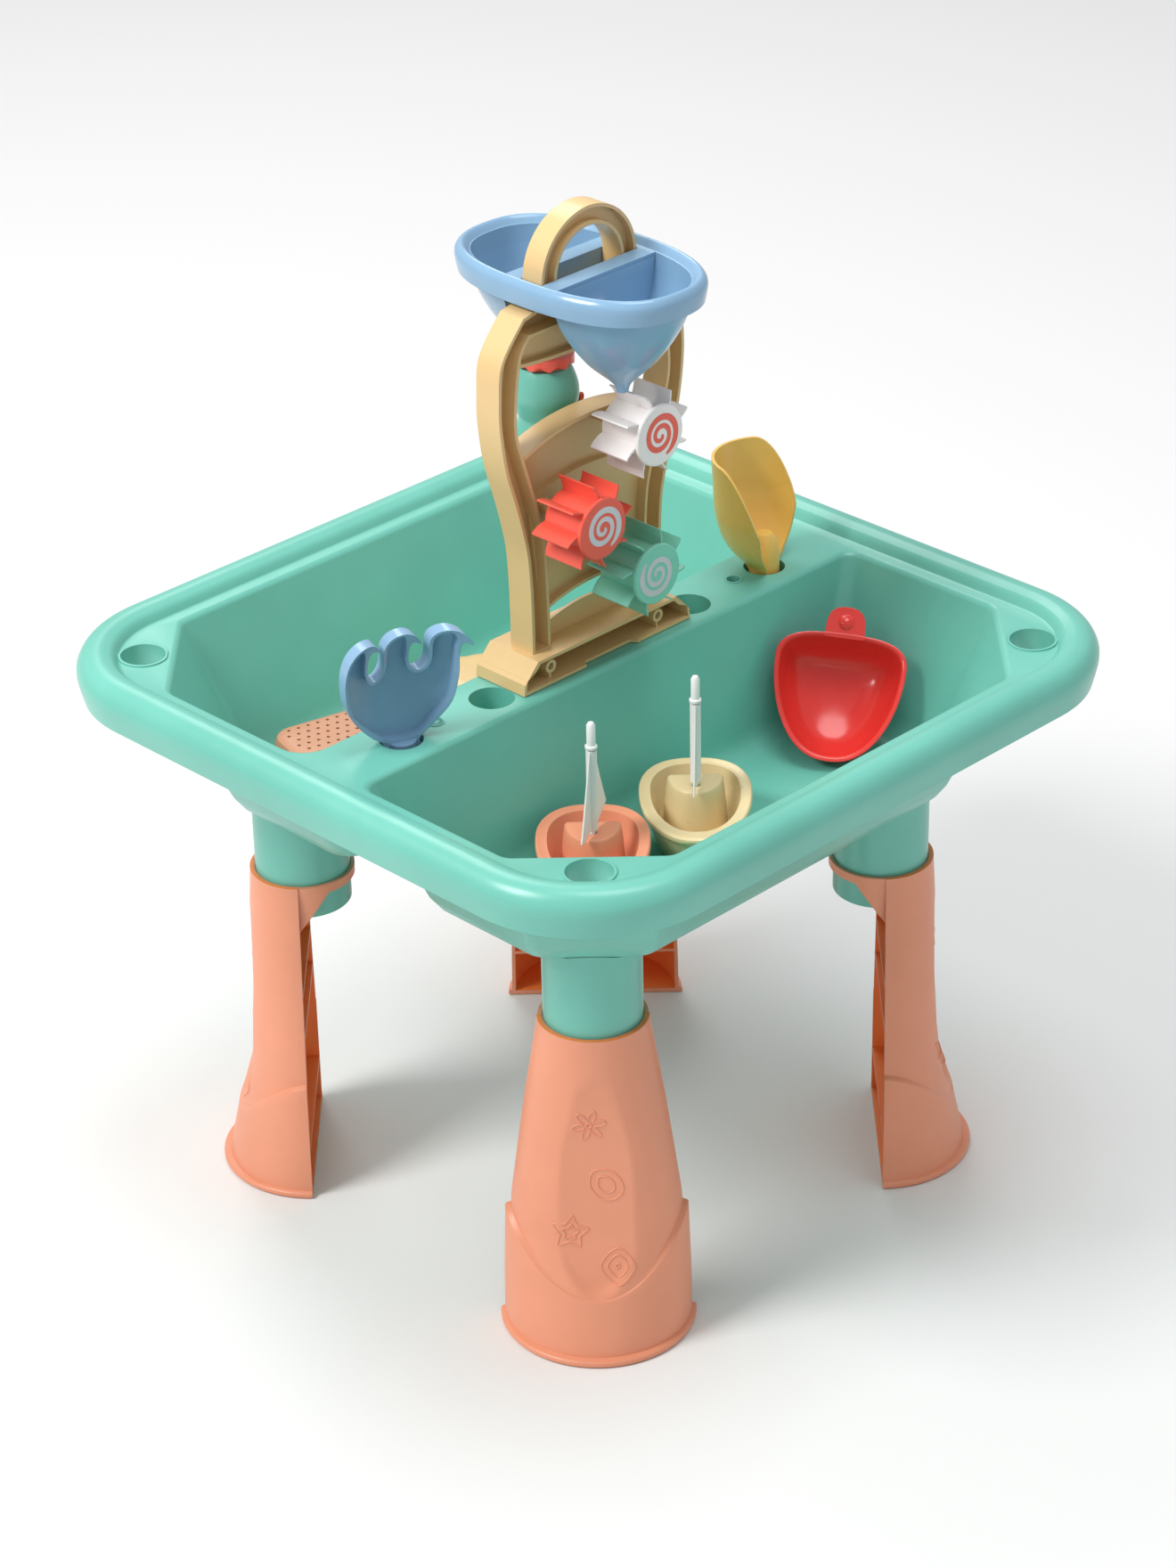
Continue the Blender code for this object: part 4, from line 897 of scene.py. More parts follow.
def build_legs():
    mesh = leg_mesh()
    for name, (sx, sy) in LEGS.items():
        angle = math.degrees(math.atan2(sy, sx))
        part_object(f"leg_{name}", mesh, "coral", (sx * LEG_XY, sy * LEG_XY, 0), angle)
    # The inner faces and shelves picked below get the brighter orange copy of the coral: painted light for
    # light passing through the thin wall, not a second plastic.
    mesh.materials.append(material("coral_painted_glow"))
    for face in mesh.polygons:
        here = face.center
        width = smooth_at(SIDE_WIDTH, here.z)
        reach = smooth_at(FRONT_REACH, here.z)
        out = Vector(((here.x - LEG_CUT_U) / reach, here.y / width, 0.0))
        away = Vector((here.x - LEG_CUT_U, here.y, 0.0)).normalized()
        hidden = here.x > LEG_CUT_U + 0.0004 and face.normal.dot(away) < -0.15
        shelf = abs(face.normal.z) > 0.7 and out.length < 0.88 and here.z > 0.001
        if hidden or shelf or (here.x < LEG_CUT_U and face.normal.dot(away) < -0.5):
            face.material_index = 1


# ---------------------------------------------------------------- tower
FRAME_OUTER = [(0.371, 0.0537), (0.406, 0.0540), (0.434, 0.0555), (0.452, 0.0590), (0.469, 0.0635)]
FRAME_OUTER += [(0.494, 0.0710), (0.519, 0.0748), (0.538, 0.0750), (0.561, 0.0720), (0.583, 0.0545)]
FRAME_INNER = [(0.371, 0.0390), (0.407, 0.0395), (0.4405, 0.0414), (0.460, 0.0455), (0.479, 0.0510)]
FRAME_INNER += [(0.500, 0.0575), (0.515, 0.0613), (0.533, 0.0609), (0.559, 0.0569), (0.570, 0.0494)]


def frame_outline():
    """One closed loop: up the right outside, over the top, down the left, back along the inside."""
    right = spline([(x, z) for z, x in FRAME_OUTER], 6)
    top = [(0.0395, FRAME_TOP_Z), (-0.0395, FRAME_TOP_Z)]
    left = [(-x, z) for x, z in reversed(right)]
    inner = spline([(x, z) for z, x in FRAME_INNER], 6)
    inner_left = [(-x, z) for x, z in inner]
    inner_right = inner[::-1]
    return right + top + left + inner_left + inner_right


def inner_edge_x(z):
    return interpolate(FRAME_INNER, z)


def arch_line(crown, end, half, x):
    return crown - (crown - end) * (x / half) ** 2


def panel_band(top, bottom, reach, steps=36):
    """Outline between two arched lines, running a little way into the columns on both sides."""
    upper = []
    lower = []
    for k in range(steps + 1):
        t = -1 + 2 * k / steps
        z_top = arch_line(top[0], top[1], 1.0, t)
        z_low = arch_line(bottom[0], bottom[1], 1.0, t)
        upper.append((t * (inner_edge_x(z_top) + reach), z_top))
        lower.append((t * (inner_edge_x(z_low) + reach), z_low))
    return lower + upper[::-1]


def base_block(inset, name):
    low, high = 0.3535 + inset, 0.3720 - inset
    bottom_x, top_x = 0.0700 - inset, 0.0580 - inset
    front = -0.0180 if inset == 0 else -0.0300
    back = 0.0225 - inset
    rings = []
    for y in (front, back):
        outline = [(-bottom_x, low), (bottom_x, low), (bottom_x - 0.001, low + 0.007)]
        outline += [(top_x + 0.004, high - 0.004), (top_x, high), (-top_x, high)]
        outline += [(-top_x - 0.004, high - 0.004), (-bottom_x + 0.001, low + 0.007)]
        rings.append([(x, y, z) for x, z in outline])
    return loft(name, rings)


TOWER_BANDS = [
    ("UNION", (0.5070, 0.4950), (0.4030, 0.3960), 0.0012, 0.0022, 0.0042),
    ("UNION", (0.5085, 0.4965), (0.5063, 0.4943), 0.0012, -0.0072, COLUMN_Y - 0.0002),
    ("UNION", (0.4042, 0.3972), (0.4020, 0.3950), 0.0012, -0.0072, COLUMN_Y - 0.0004),
    ("UNION", (0.4740, 0.4640), (0.4030, 0.3960), 0.0012, -0.0022, 0.0036),
    ("DIFFERENCE", (0.4715, 0.4615), (0.4050, 0.3982), -0.0016, -0.0002, 0.0100),
    ("UNION", (0.5720, 0.5690), (0.5480, 0.5520), 0.0010, 0.0004, 0.0026),
    ("UNION", (0.5502, 0.5542), (0.5480, 0.5520), 0.0010, -0.0040, 0.0060),
]


def build_tower():
    frame = frame_outline()
    groove = offset_polygon(frame, GROOVE)
    steps = [
        ("BASE", plate("frame", [frame], -COLUMN_Y, COLUMN_Y, True)),
        ("DIFFERENCE", plate("groove_front", [groove], -0.012, WEB_FRONT_Y, True)),
        ("DIFFERENCE", plate("groove_back", [groove], WEB_BACK_Y, 0.012, True)),
    ]
    for operation, top, bottom, reach, low, high in TOWER_BANDS:
        steps.append((operation, plate("band", [panel_band(top, bottom, reach)], low, high, True)))
    notch = [(-0.020, -0.020), (0.026, -0.020), (0.022, -0.014), (-0.016, -0.014)]
    fin = panel_band((0.3865, 0.3780), (0.3706, 0.3706), 0.0013)
    steps += [
        ("UNION", base_block(0.0, "base_block")),
        ("DIFFERENCE", base_block(0.0020, "base_hollow")),
        ("DIFFERENCE", plate("base_notch", [notch], 0.3500, 0.3560)),
        ("UNION", plate("base_fin", [fin], 0.0014, 0.0036, True)),
    ]
    part_object("tower", combine("tower", steps + arch_steps() + boss_steps()), "cream", sharp=30)


def arch_steps():
    low = FRAME_TOP_Z - 0.0012
    outer = [(ARCH_R, low)] + arc((0, ARCH_Z), ARCH_R, 0, 180, 64) + [(-ARCH_R, low)]
    inner = [(-ARCH_INNER_R, low)] + arc((0, ARCH_Z), ARCH_INNER_R, 180, 0, 56) + [(ARCH_INNER_R, low)]
    ring = outer + inner
    groove = offset_polygon(ring, GROOVE)
    groove = [(x, max(z, FRAME_TOP_Z + 0.0010)) for x, z in groove]
    return [
        ("UNION", plate("arch", [ring], -ARCH_Y, ARCH_Y, True)),
        ("DIFFERENCE", plate("arch_groove_front", [groove], -0.012, -0.0025, True)),
        ("DIFFERENCE", plate("arch_groove_back", [groove], 0.0045, 0.012, True)),
    ]


def boss_steps():
    steps = []
    for x, z, _ in WHEELS.values():
        steps.append(("UNION", turned("boss", disc_profile(0.0048, -0.0052, 0.0152), 10, (x, 0, z), "Y")))
        steps.append(("DIFFERENCE", turned("bore", disc_profile(0.0022, 0.0010, 0.020), 8, (x, 0, z), "Y")))
    for x in (-BASE_SCREW_X, BASE_SCREW_X):
        spot = (x, 0, BASE_SCREW_Z)
        steps.append(("UNION", turned("base_boss", disc_profile(0.0042, -0.0210, 0.0150), 10, spot, "Y")))
        fin = box("base_fin", (x - 0.0008, -0.0140, 0.3545), (x + 0.0008, 0.0210, 0.3600))
        bore = turned("base_bore", disc_profile(0.0022, -0.0180, 0.0200), 8, spot, "Y")
        steps += [("UNION", fin), ("DIFFERENCE", bore)]
    stub = turned("bottle_stub", disc_profile(0.0050, -0.0106, -0.0030), 10, (0.002, 0, 0.4880), "Y")
    steps.append(("UNION", stub))
    return steps


def build_base_screws():
    profile = [(0, 0.0006), (0.0017, 0.0), (0.0017, -0.0250), (0, -0.0260)]
    for name, side in (("base_screw_left", -1), ("base_screw_right", 1)):
        mesh = turned(name, profile, 8, (0, 0, 0), "Y")
        part_object(name, mesh, "steel", (side * BASE_SCREW_X, -0.0130, BASE_SCREW_Z))


# ---------------------------------------------------------------- funnel tray
def superellipse(half_x, half_y, z, count, power=TRAY_POWER):
    return [(half_x * bent(c, 2 / power), half_y * bent(s, 2 / power), z) for _, c, s in circle(count)]


def bowl_outline(side, inset):
    """D-shaped opening of one funnel, as (x, y), flat edge towards the middle of the tray."""
    flat = 0.0200
    half_x = TRAY_HALF_X - inset
    half_y = TRAY_HALF_Y - inset
    power = TRAY_POWER
    points = []
    edge_x = half_x * (1 - (flat / half_y) ** power) ** (1 / power)
    start = math.atan2((flat / half_y) ** (power / 2), (edge_x / half_x) ** (power / 2))
    for k in range(49):
        angle = start + (math.pi - 2 * start) * k / 48
        c, s = math.cos(angle), math.sin(angle)
        points.append((half_x * bent(c, 2 / power), side * (half_y * abs(s) ** (2 / power))))
    for k in range(1, 3):
        points.append((-edge_x + 2 * edge_x * k / 3, side * flat))
    return points


def bowl(side, inset, levels, name):
    outline = bowl_outline(side, inset)
    rings = []
    for z, scale in levels:
        ring = []
        for x, y in outline:
            ring.append((x * scale, side * NOZZLE_Y + (y - side * NOZZLE_Y) * scale, z))
        rings.append(ring)
    return loft(name, rings)


def build_tray():
    outer = [(0.0014, 0.5870), (0.0, 0.5960), (0.0014, 0.6003), (0.0044, TRAY_TOP_Z), (0.0082, 0.5980)]
    under = [(0.0090, 0.5960), (0.0044, 0.5998), (0.0024, 0.5960), (0.0034, 0.5870)]
    rings = []
    for inset, z in spline(under, 3) + spline(outer, 5):
        rings.append(superellipse(TRAY_HALF_X - inset, TRAY_HALF_Y - inset, z, 128))
    steps = [("BASE", loft("tray_rim", rings))]
    outside = [(0.5972, 1.0), (0.5870, 0.970), (0.5750, 0.880), (0.5620, 0.710), (0.5500, 0.500)]
    outside += [(0.5435, 0.350), (0.5345, 0.130), (0.5290, 0.085)]
    inside = [(0.6040, 1.0), (0.5980, 1.0), (0.5880, 0.965), (0.5765, 0.870), (0.5640, 0.700)]
    inside += [(0.5520, 0.480), (0.5460, 0.340), (0.5360, 0.085), (0.5270, 0.040)]
    for side in (-1, 1):
        steps.append(("UNION", bowl(side, 0.0072, spline(outside, 4), f"bowl_outer_{side}")))
    slot_wall = box("slot_wall", (-0.0410, -0.0101, 0.5866), (0.0410, 0.0101, 0.5972))
    steps.append(("UNION", slot_wall))
    for side in (-1, 1):
        steps.append(("DIFFERENCE", bowl(side, 0.0090, inside[:2] + spline(inside[2:], 4),
            f"bowl_inner_{side}")))
    steps.append(("DIFFERENCE", box("slot", (-0.0388, -0.0083, 0.5700), (0.0388, 0.0083, 0.6100))))
    part_object("funnel_tray", combine("funnel_tray", steps), "blue")


# ---------------------------------------------------------------- wheels
def paddle_outline(start_deg):
    """Ring of radius 15.5 mm with eight thin paddles, each leaning slightly to one side."""
    root, tip, half = 0.0155, 0.0265, 0.0006
    outline = []
    lean = math.radians(9)
    shares = (0.0, 0.25, 0.5, 0.75, 1.0)
    for k in range(8):
        angle = math.radians(start_deg + 45 * k)
        for order, across in ((shares, -half), (shares[::-1], half)):
            for share in order:
                radius = root + (tip - root) * share
                outline.append(spoke_point(radius, angle + lean * share ** 1.6, across))
        for step in range(1, 9):
            between = angle + math.radians(5 * step)
            outline.append((root * math.cos(between), root * math.sin(between)))
    return outline


def spoke_point(radius, angle, across):
    return (radius * math.cos(angle) - across * math.sin(angle),
        radius * math.sin(angle) + across * math.cos(angle))


SWIRLS = {"white": ("orange_red", -70.0), "red": ("print", -65.0), "teal": ("print", 132.0)}


def build_swirl(name, x, z):
    """Printed spiral: one tapering band, a little over two turns, on the front of the wheel."""
    look, start = SWIRLS[name]
    turns, steps = 2.25, 120
    outer = []
    inner = []
    for k in range(steps + 1):
        share = k / steps
        angle = math.radians(start) + 2 * math.pi * turns * share
        middle = 0.0136 * (1 - share) + 0.0012 * share
        half = 0.0021 * (1 - share) + 0.0012 * share
        half *= min(1.0, 0.35 + share * 14, 0.35 + (1 - share) * 10)
        outer.append(((middle + half) * math.cos(angle), (middle + half) * math.sin(angle)))
        inner.append(((middle - half) * math.cos(angle), (middle - half) * math.sin(angle)))
    band = plate(f"swirl_{name}", [outer + inner[::-1]], SWIRL_FRONT_Y, SWIRL_BACK_Y, True)
    finished(f"wheel_swirl_{name}", band, "white", BODY_OF[f"wheel_{name}"], (x, 0, z), look=look)


WHEEL_SLOTS = {"white": "white", "red": "orange_red", "teal": "sticker_teal"}
WHEEL_FACE = [(0, 0.0497), (0.0180, 0.0497), (0.0186, 0.0490), (0.0186, 0.0473), (0, 0.0473)]
WHEEL_PIN = [(0, 0.0462), (0.0034, 0.0456), (0.0034, 0.0443), (0.0018, 0.0443), (0.0018, 0.0015),
    (0, 0.0013)]


def build_wheels():
    origin = (0, 0, 0)
    for name, (x, z, start) in WHEELS.items():
        slot = WHEEL_SLOTS[name]
        inner = arc((0, 0), 0.0141, 0, 355.0, 71)
        wheel = combine(f"wheel_{name}", [
            ("BASE", plate("ring", [paddle_outline(start), inner], WHEEL_FRONT_Y, WHEEL_BACK_Y, True)),
            ("UNION", turned("web", tube_profile(0.0148, 0.0024, 0.0405, 0.0423), 16, origin, "Y")),
            ("UNION", turned("hub", tube_profile(0.0044, 0.0024, 0.0185, 0.0440), 10, origin, "Y")),
        ])
        part_object(f"wheel_{name}", wheel, slot, (x, 0, z))
        disc = turned(f"disc_{name}", WHEEL_FACE, 24, origin, "Y")
        part_object(f"wheel_disc_{name}", disc, slot, (x, 0, z))
        build_swirl(name, x, z)
        axle = turned(f"axle_{name}", WHEEL_PIN, 8, origin, "Y")
        part_object(f"wheel_axle_{name}", axle, "steel", (x, 0, z))


# ---------------------------------------------------------------- bottle behind the tower
BOTTLE = (0.002, 0.0325)


def build_bottle():
    outer = [(0.0150, 0.5262), (0.0168, 0.5225), (0.0192, 0.5150), (0.0198, 0.5075), (0.0180, 0.4995)]
    outer += [(0.0165, 0.4935), (0.0190, 0.4860), (0.0212, 0.4770), (0.0215, 0.4690), (0.0170, 0.4610)]
    inner = [(0.0075, 0.4632), (0.0150, 0.4636), (0.0190, 0.4760), (0.0166, 0.4860), (0.0142, 0.4935)]
    inner += [(0.0175, 0.5075), (0.0145, 0.5225), (0.0128, 0.5262)]
    profile = spline(outer, 6) + [(0.0075, 0.4605)] + spline(inner, 6)
    mesh = turned("bottle", profile, 18)
    flat = box("bottle_flat", (-0.02, -0.0500, 0.450), (0.02, -0.0216, 0.530))
    part_object("bottle", combine("bottle", [("BASE", mesh), ("DIFFERENCE", flat)]), "teal", (*BOTTLE, 0))


def build_bottle_collar():
    rings = []
    levels = ((0.0132, 0.5266, 0.0), (0.0132, 0.5345, 0.0), (0.0174, 0.5345, 0.0), (0.0174, 0.5290, 1.0))
    for radius, z, wave in levels:
        ring = []
        for angle, c, s in circle(80):
            ring.append((radius * c, radius * s, z + 0.0014 * wave * math.cos(10 * angle)))
        rings.append(ring)
    mesh = loft("bottle_collar", rings, around=True)
    part_object("bottle_collar", mesh, "orange_red", (*BOTTLE, 0))


def build_spinner():
    outline = []
    for angle, c, s in circle(100):
        radius = 0.0080 + 0.0030 * math.cos(5 * angle)
        outline.append((radius * c, radius * s))
    hole = arc((0, 0), 0.0017, 0, 315, 7)
    lobes = plate("spinner", [outline, hole], -0.0015, 0.0015)
    lobes.transform(turn(90, "Y"))
    spot = (BOTTLE[0] + 0.0230, BOTTLE[1], 0.4930)
    part_object("spinner", lobes, "orange_red", spot)
    profile = [(0, 0.0030), (0.0028, 0.0026), (0.0028, 0.0018), (0.0013, 0.0018), (0.0013, -0.0030),
        (0, -0.0030)]
    pin = turned("spinner_pin", profile, 8, (0, 0, 0), "X")
    part_object("spinner_pin", pin, "orange_red", spot)


# ---------------------------------------------------------------- rake and scoop
RAKE_OUTLINE = [
    (-9.8, -4), (-9.8, 0.6), (-19, 7), (-30, 20), (-36, 32), (-37.5, 48), (-35, 59), (-30, 65),
    (-22.5, 67.5), (-16, 66), (-11.5, 60), (-16, 61.5), (-19, 58.5), (-20, 50), (-18.5, 43.5),
    (-15.5, 41), (-11.5, 43.5),
    (-9, 49), (-8.5, 60), (-4.5, 66.5), (3, 68.8), (9.5, 66), (13.5, 60), (9, 61.5), (6.8, 58),
    (6.3, 50), (7.6, 45), (11, 42.5), (15, 44.5), (17.5, 50), (17.8, 62), (21.5, 68), (28, 70.3),
    (34.5, 67.5), (39, 61), (34.5, 61.5), (33, 56), (32.5, 40), (28.5, 23), (19, 10), (9.8, 0.6), (9.8, -4),
]
RAKE_POCKET = [
    (-7.6, 2.4), (-17, 9), (-28.2, 21.2), (-34, 32.6), (-35.5, 48), (-33.4, 58), (-29, 63), (-23.5, 65),
    (-21.6, 59), (-21.9, 49), (-20, 42.5), (-15.8, 39.2), (-10.5, 41.5), (-7.2, 48), (-6.7, 59.5),
    (-3.5, 64.7), (3, 66.9), (5, 59), (4.5, 50), (6, 43.8), (10.7, 40.6), (16.2, 43), (19.3, 49.5),
    (19.6, 61.5), (22.5, 66.3), (28, 68.4), (31.4, 64), (31.2, 57), (30.6, 40.5), (26.9, 24),
    (17.4, 11.8), (7.6, 2.4),
]
RAKE_WALL = 0.0080
RAKE_BACK = [(-0.010, 0.0050), (0.004, 0.0055), (0.030, 0.0085), (0.080, 0.0085)]


def build_rake():
    """Local frame: width along +X, open side towards -Y, origin in the socket at deck height."""
    grid = []
    for level in range(41):
        z = -0.010 + 0.086 * level / 40
        row = []
        for k in range(41):
            x = -0.045 + 0.090 * k / 40
            bow = 0.0150 * (abs(x) / 0.038) ** 2.0
            curl = 0.0060 * max(0.0, (z - 0.045) / 0.025) ** 2
            row.append((x, smooth_at(RAKE_BACK, z) - bow - curl, z))
        grid.append(row)
    sheet = shell("rake_sheet", grid, 0.0024)
    front = [[(x, y - RAKE_WALL / 2, z) for x, y, z in row] for row in grid]
    slab = shell("rake_slab", front, RAKE_WALL)
    outline = spline([(w * 0.001, z * 0.001) for w, z in RAKE_OUTLINE], 4, True)
    pocket = spline([(w * 0.001, z * 0.001) for w, z in RAKE_POCKET], 4, True)
    stem = turned("rake_stem", disc_profile(0.0088, -0.0262, 0.0), 16)
    steps = [("BASE", slab), ("DIFFERENCE", plate("rake_pocket", [pocket], -0.06, 0.06, True))]
    steps.append(("UNION", sheet))
    steps.append(("INTERSECT", plate("rake_prism", [outline], -0.05, 0.05, True)))
    mesh = combine("rake", [("BASE", combine("rake_blade", steps)), ("UNION", stem)])
    part_object("rake", mesh, "blue", (-SOCKET_X, SOCKET_Y, DECK_Z), -22.0)


SCOOP_WIDTH = [(-0.006, 0.0080), (0.001, 0.0090), (0.008, 0.0150), (0.014, 0.0215), (0.024, 0.0270)]
SCOOP_WIDTH += [(0.038, 0.0305), (0.078, 0.0320)]
SCOOP_BACK = [(-0.006, 0.0080), (0.001, 0.0095), (0.008, 0.0160), (0.014, 0.0215), (0.024, 0.0265)]
SCOOP_BACK += [(0.038, 0.0300), (0.078, 0.0320)]


def build_scoop():
    """Local frame: opening towards -Y, origin in the socket at deck height."""
    grid = []
    for step in range(33):
        level = step / 32
        row = []
        for k in range(61):
            angle = math.radians(-100 + 200 * k / 60)
            corner = max(0.0, (abs(angle) - math.radians(52)) / math.radians(48))
            top = 0.0735 - 0.0420 * corner ** 2
            z = -0.006 + (top + 0.006) * level
            width = smooth_at(SCOOP_WIDTH, z, 0.004)
            back = smooth_at(SCOOP_BACK, z, 0.004)
            row.append((width * math.sin(angle), -0.0035 + (back + 0.0035) * math.cos(angle), z))
        grid.append(row)
    sheet = shell("scoop_sheet", grid, SHEET)
    profile = [(0, 0.0240), (0.0052, 0.0228), (0.0086, 0.0180), (0.0094, 0.0080), (0.0096, -0.0262),
        (0, -0.0262)]
    stem = turned("scoop_stem", profile, 16)
    mesh = combine("scoop", [("BASE", sheet), ("UNION", stem)])
    part_object("scoop", mesh, "yellow", (SOCKET_X, SOCKET_Y, DECK_Z), 20.0)


# ---------------------------------------------------------------- moulds and sieve
def mould_outline(count=96):
    """Rounded shield: broad at +Y, rounded point at -Y."""
    ring = []
    for _, c, s in circle(count):
        width = 0.0422 * (1 - 0.16 * (1 - s) / 2)
        x = width * bent(c, 0.66 if s > 0 else 0.86)
        y = 0.0245 * abs(s) ** 0.70 if s > 0 else 0.0545 * s
        ring.append((x, y))
    return ring


def build_red_mould():
    outline = mould_outline()
    levels = [(1.03, 0.0), (0.975, -0.0006), (0.93, -0.0075), (0.83, -0.0165), (0.62, -0.0235),
        (0.33, -0.0268)]
    grid = []
    for scale, z in spline(levels, 5):
        grid.append([(x * scale, (y + 0.004) * scale - 0.004, z) for x, y in outline])
    grid.append([(0, -0.004, -0.0275)] * len(outline))
    bowl_mesh = shell("mould_sheet", grid, SHEET, closed=True)
    ear = [(-0.0125, 0.0225), (0.0125, 0.0225), (0.0108, 0.0425), (-0.0108, 0.0425)]
    ear = plate("mould_ear", [rounded_corners(ear, [0.001, 0.001, 0.009, 0.009], 3)], -0.0010, 0.0010)
    dome = turned("mould_dome", [(0, 0.0030), (0.0026, 0.0026), (0.0046, 0.0014), (0.0056, 0.0),
        (0, 0.0)], 12)
    dome.transform(shift(0, 0.0325, 0.0))
    mesh = joined("red_mould", [bowl_mesh, ear, dome])
    length = Vector((0.599, 0.371, 0.710)).normalized()
    width = Vector((0.668, -0.744, -0.015))
    width = (width - length * width.dot(length)).normalized()
    normal = width.cross(length).normalized()
    mesh.transform(Matrix((width, length, normal)).transposed().to_4x4())
    part_object("red_mould", mesh, "red", (0.1410, -0.0755, 0.3085))


SIEVE_PITCH = 0.0066


def build_sieve():
    corners = [(0.044, -0.031), (0.044, 0.031), (-0.044, 0.031), (-0.044, -0.031)]
    grid = []
    for inset, z in ((-0.004, 0.0005), (0.0, 0.0010), (0.004, 0.0270), (0.0050, 0.0295), (0.008, 0.0310)):
        moved = [(x - math.copysign(inset, x), y - math.copysign(inset, y)) for x, y in corners]
        ring = rounded_corners(moved, [0.016 - inset * 0.5] * 4, 12)
        grid.append([(x, y, z) for x, y in ring])
    grid.append([(0, 0, 0.0310)] * len(grid[0]))
    steps = [("BASE", shell("sieve_sheet", grid, SHEET, closed=True))]
    hole = disc_profile(0.0011, 0.024, 0.040)
    for row in range(-3, 4):
        for col in range(-5, 5):
            spot = ((col + 0.5 * (row % 2)) * SIEVE_PITCH, row * SIEVE_PITCH, 0)
            steps.append(("DIFFERENCE", turned("sieve_hole", hole, 3, spot)))
    part_object("sieve", combine("sieve", steps), "peach", (-0.0965, 0.1095, FLOOR_Z + 0.0008), -14.0)


def build_cream_mould():
    grid = []
    levels = [(1.0, 0.0012), (0.94, 0.0012), (0.84, 0.0200), (0.66, 0.0270), (0.30, 0.0280)]
    for scale, z in levels[:1] + spline(levels[1:], 5):
        ring = []
        for angle, c, s in circle(100):
            radius = (0.0335 + 0.0035 * math.cos(5 * angle)) * scale
            ring.append((radius * c, radius * s, z))
        grid.append(ring)
    grid.append([(0, 0, 0.0282)] * 100)
    mesh = shell("cream_mould_sheet", grid, SHEET, closed=True)
    part_object("cream_mould", mesh, "cream", (0.0140, 0.1180, FLOOR_Z + 0.0006), 20.0)


# ---------------------------------------------------------------- boats
def hull_ring(scale, z, inset=0.0):
    """Hull outline, bow towards -Y: wide rounded stern, narrower rounded bow."""
    ring = []
    for _, c, s in circle(90):
        width = (0.0335 * scale - inset) * (1.0 if s > 0 else 1 - 0.16 * s * s)
        length = (0.0395 * scale if s > 0 else 0.0600 * scale) - inset
        ring.append((width * bent(c, 0.80), length * bent(s, 0.86), z))
    return ring


def cabin_outline(count=48):
    """Flat across the stern side and rounded towards the bow."""
    spots = [(-0.0150, 0.0052), (0.0150, 0.0052)]
    for k in range(count + 1):
        angle = math.pi * k / count
        spots.append((0.0163 * math.cos(angle), 0.0035 - 0.0220 * math.sin(angle)))
    return spots


HULL_OUTER = [(0.66, 0.0008), (0.74, 0.0035), (0.88, 0.0190), (0.90, 0.0245), (0.965, 0.0256),
    (0.99, 0.0262)]
HULL_OUTER += [(1.0, 0.0278), (0.995, 0.0291), (0.975, 0.0299), (0.955, 0.0300), (0.93, 0.0296)]
HULL_INNER = [(0.66, 0.0048, 0.0020), (0.80, 0.0200, 0.0030), (0.88, 0.0290, 0.0030),
    (0.90, 0.0330, 0.0030)]
CABIN = [(1.20, 0.0030), (1.06, 0.0300), (1.005, 0.0358), (0.99, 0.0366), (0.965, 0.0371), (0.93, 0.0372)]
MAST_Y = -0.0080
MAST = [(0, 0.1094), (0.0016, 0.1091), (0.0026, 0.1074), (0.0026, 0.0946), (0.0036, 0.0942),
    (0.0036, 0.0926)]
MAST += [(0.0020, 0.0922), (0.0018, 0.0205), (0, 0.0203)]
SAIL_AFT = [(0.0034, 0.0912), (0.0024, 0.0898), (0.0024, 0.0400), (0.0050, 0.0396), (0.0220, 0.0470),
    (0.0120, 0.0690)]
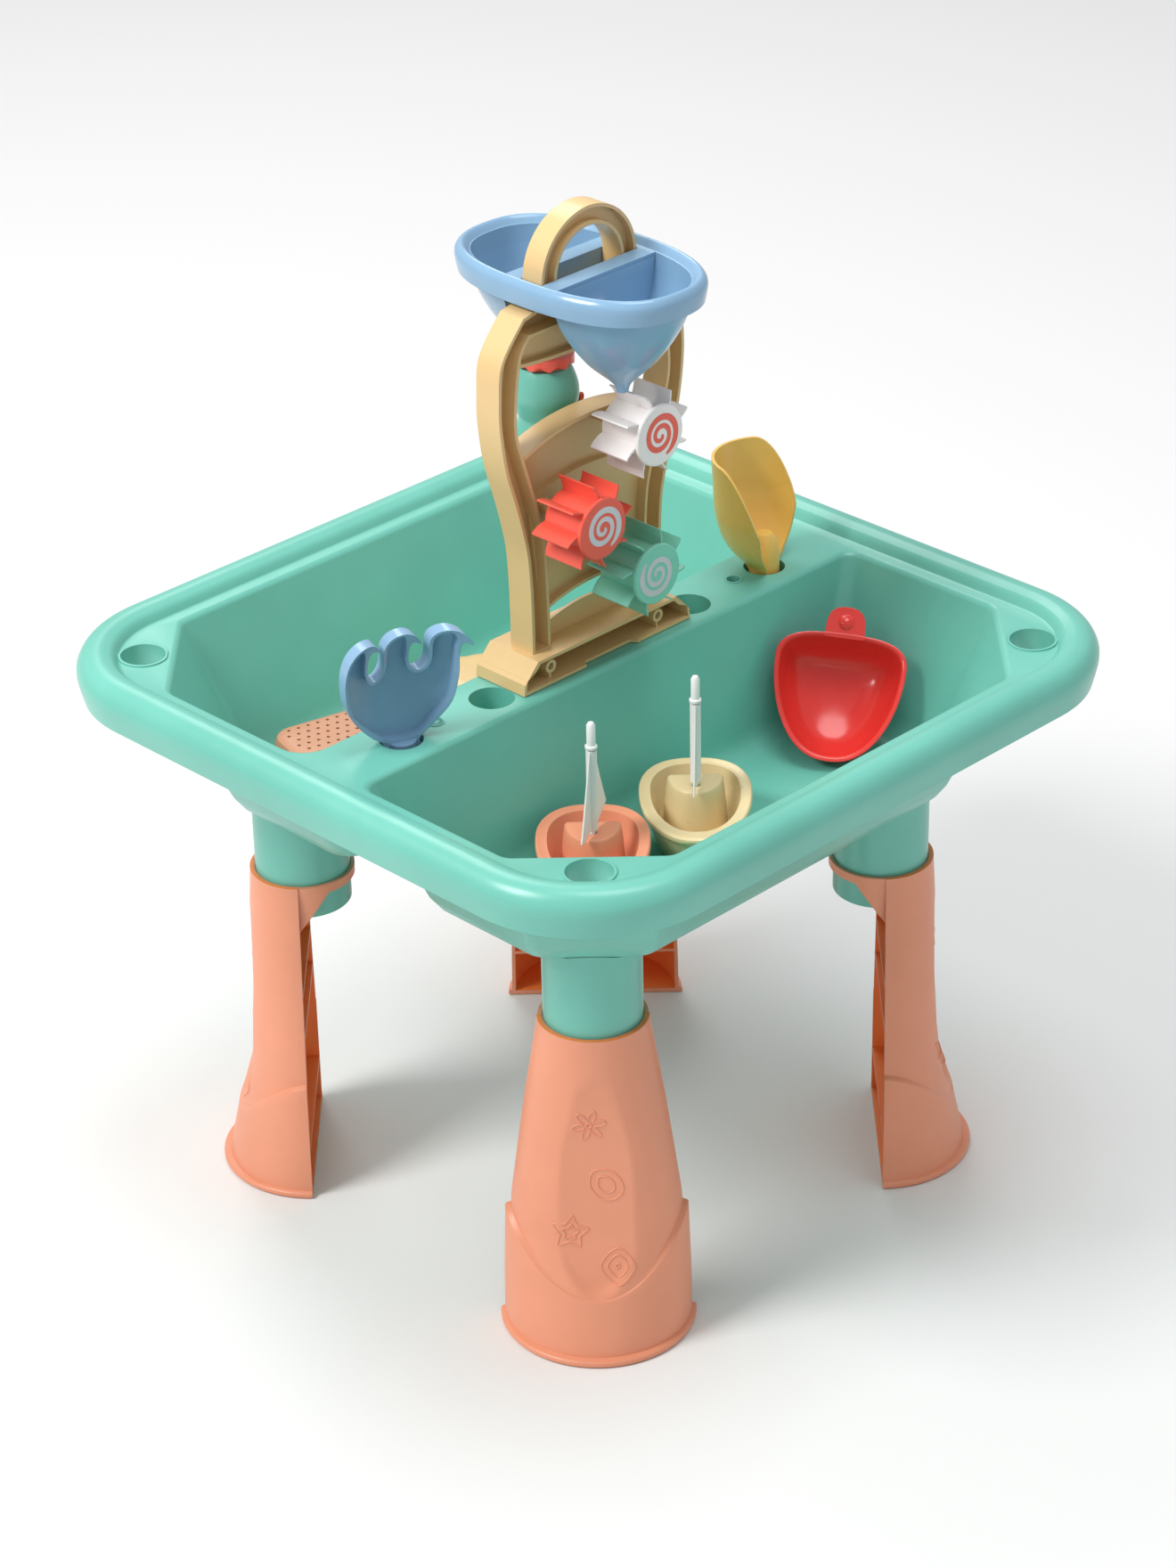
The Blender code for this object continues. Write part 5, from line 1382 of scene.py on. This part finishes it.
SAIL_FORE = [(-0.0024, 0.0898), (-0.0034, 0.0912), (-0.0085, 0.0720), (-0.0140, 0.0540), (-0.0190, 0.0394)]
SAIL_FORE += [(-0.0170, 0.0386), (-0.0070, 0.0400), (-0.0024, 0.0430)]
SAIL_TURNS = {"coral": 25.0, "cream": 40.0}


def boat_hull(name):
    cabin = [[(x * grow, y * grow, z) for x, y in cabin_outline()] for grow, z in CABIN]
    return combine(name, [
        ("BASE", loft("hull_outer", [hull_ring(*level) for level in HULL_OUTER])),
        ("DIFFERENCE", loft("hull_inner", [hull_ring(*level) for level in HULL_INNER])),
        ("UNION", loft("cabin", cabin)),
        ("DIFFERENCE", turned("mast_step", disc_profile(0.0023, 0.0200, 0.0500), 8, (0, MAST_Y, 0))),
    ])


def build_boats():
    for name, (x, y, angle) in BOATS.items():
        hull = boat_hull(f"hull_{name}")
        look = "boat_cream" if name == "cream" else "coral"
        part_object(f"boat_hull_{name}", hull, name, (x, y, FLOOR_Z), angle, look=look)
        offset = turn(angle, "Z") @ Vector((0, MAST_Y, 0))
        foot = (x + offset.x, y + offset.y, FLOOR_Z)
        part_object(f"boat_mast_{name}", turned(f"mast_{name}", MAST, 8), "white", foot)
        part_object(f"boat_sail_{name}", sail_mesh(name), "white", foot, SAIL_TURNS[name])


def sail_mesh(name):
    """Two thin panels joined by a sleeve that clips round the mast."""
    sleeve = turned(f"sail_sleeve_{name}", tube_profile(0.0032, 0.0023, 0.0400, 0.0914), 8)
    sides = (SAIL_AFT, SAIL_FORE)
    panels = [("UNION", plate("sail_panel", [side], -0.0005, 0.0005, True)) for side in sides]
    return combine(f"sail_{name}", [("BASE", sleeve)] + panels)


# ---------------------------------------------------------------- build
build_tub()
build_divider_screws()
build_sleeves()
build_legs()
build_leg_signs()
build_tower()
build_base_screws()
build_tray()
build_wheels()
build_bottle()
build_bottle_collar()
build_spinner()
build_rake()
build_scoop()
build_red_mould()
build_sieve()
build_cream_mould()
build_boats()
for spare in list(CUTTERS.objects):
    bpy.data.objects.remove(spare, do_unlink=True)
bpy.data.collections.remove(CUTTERS)
bpy.context.view_layer.update()
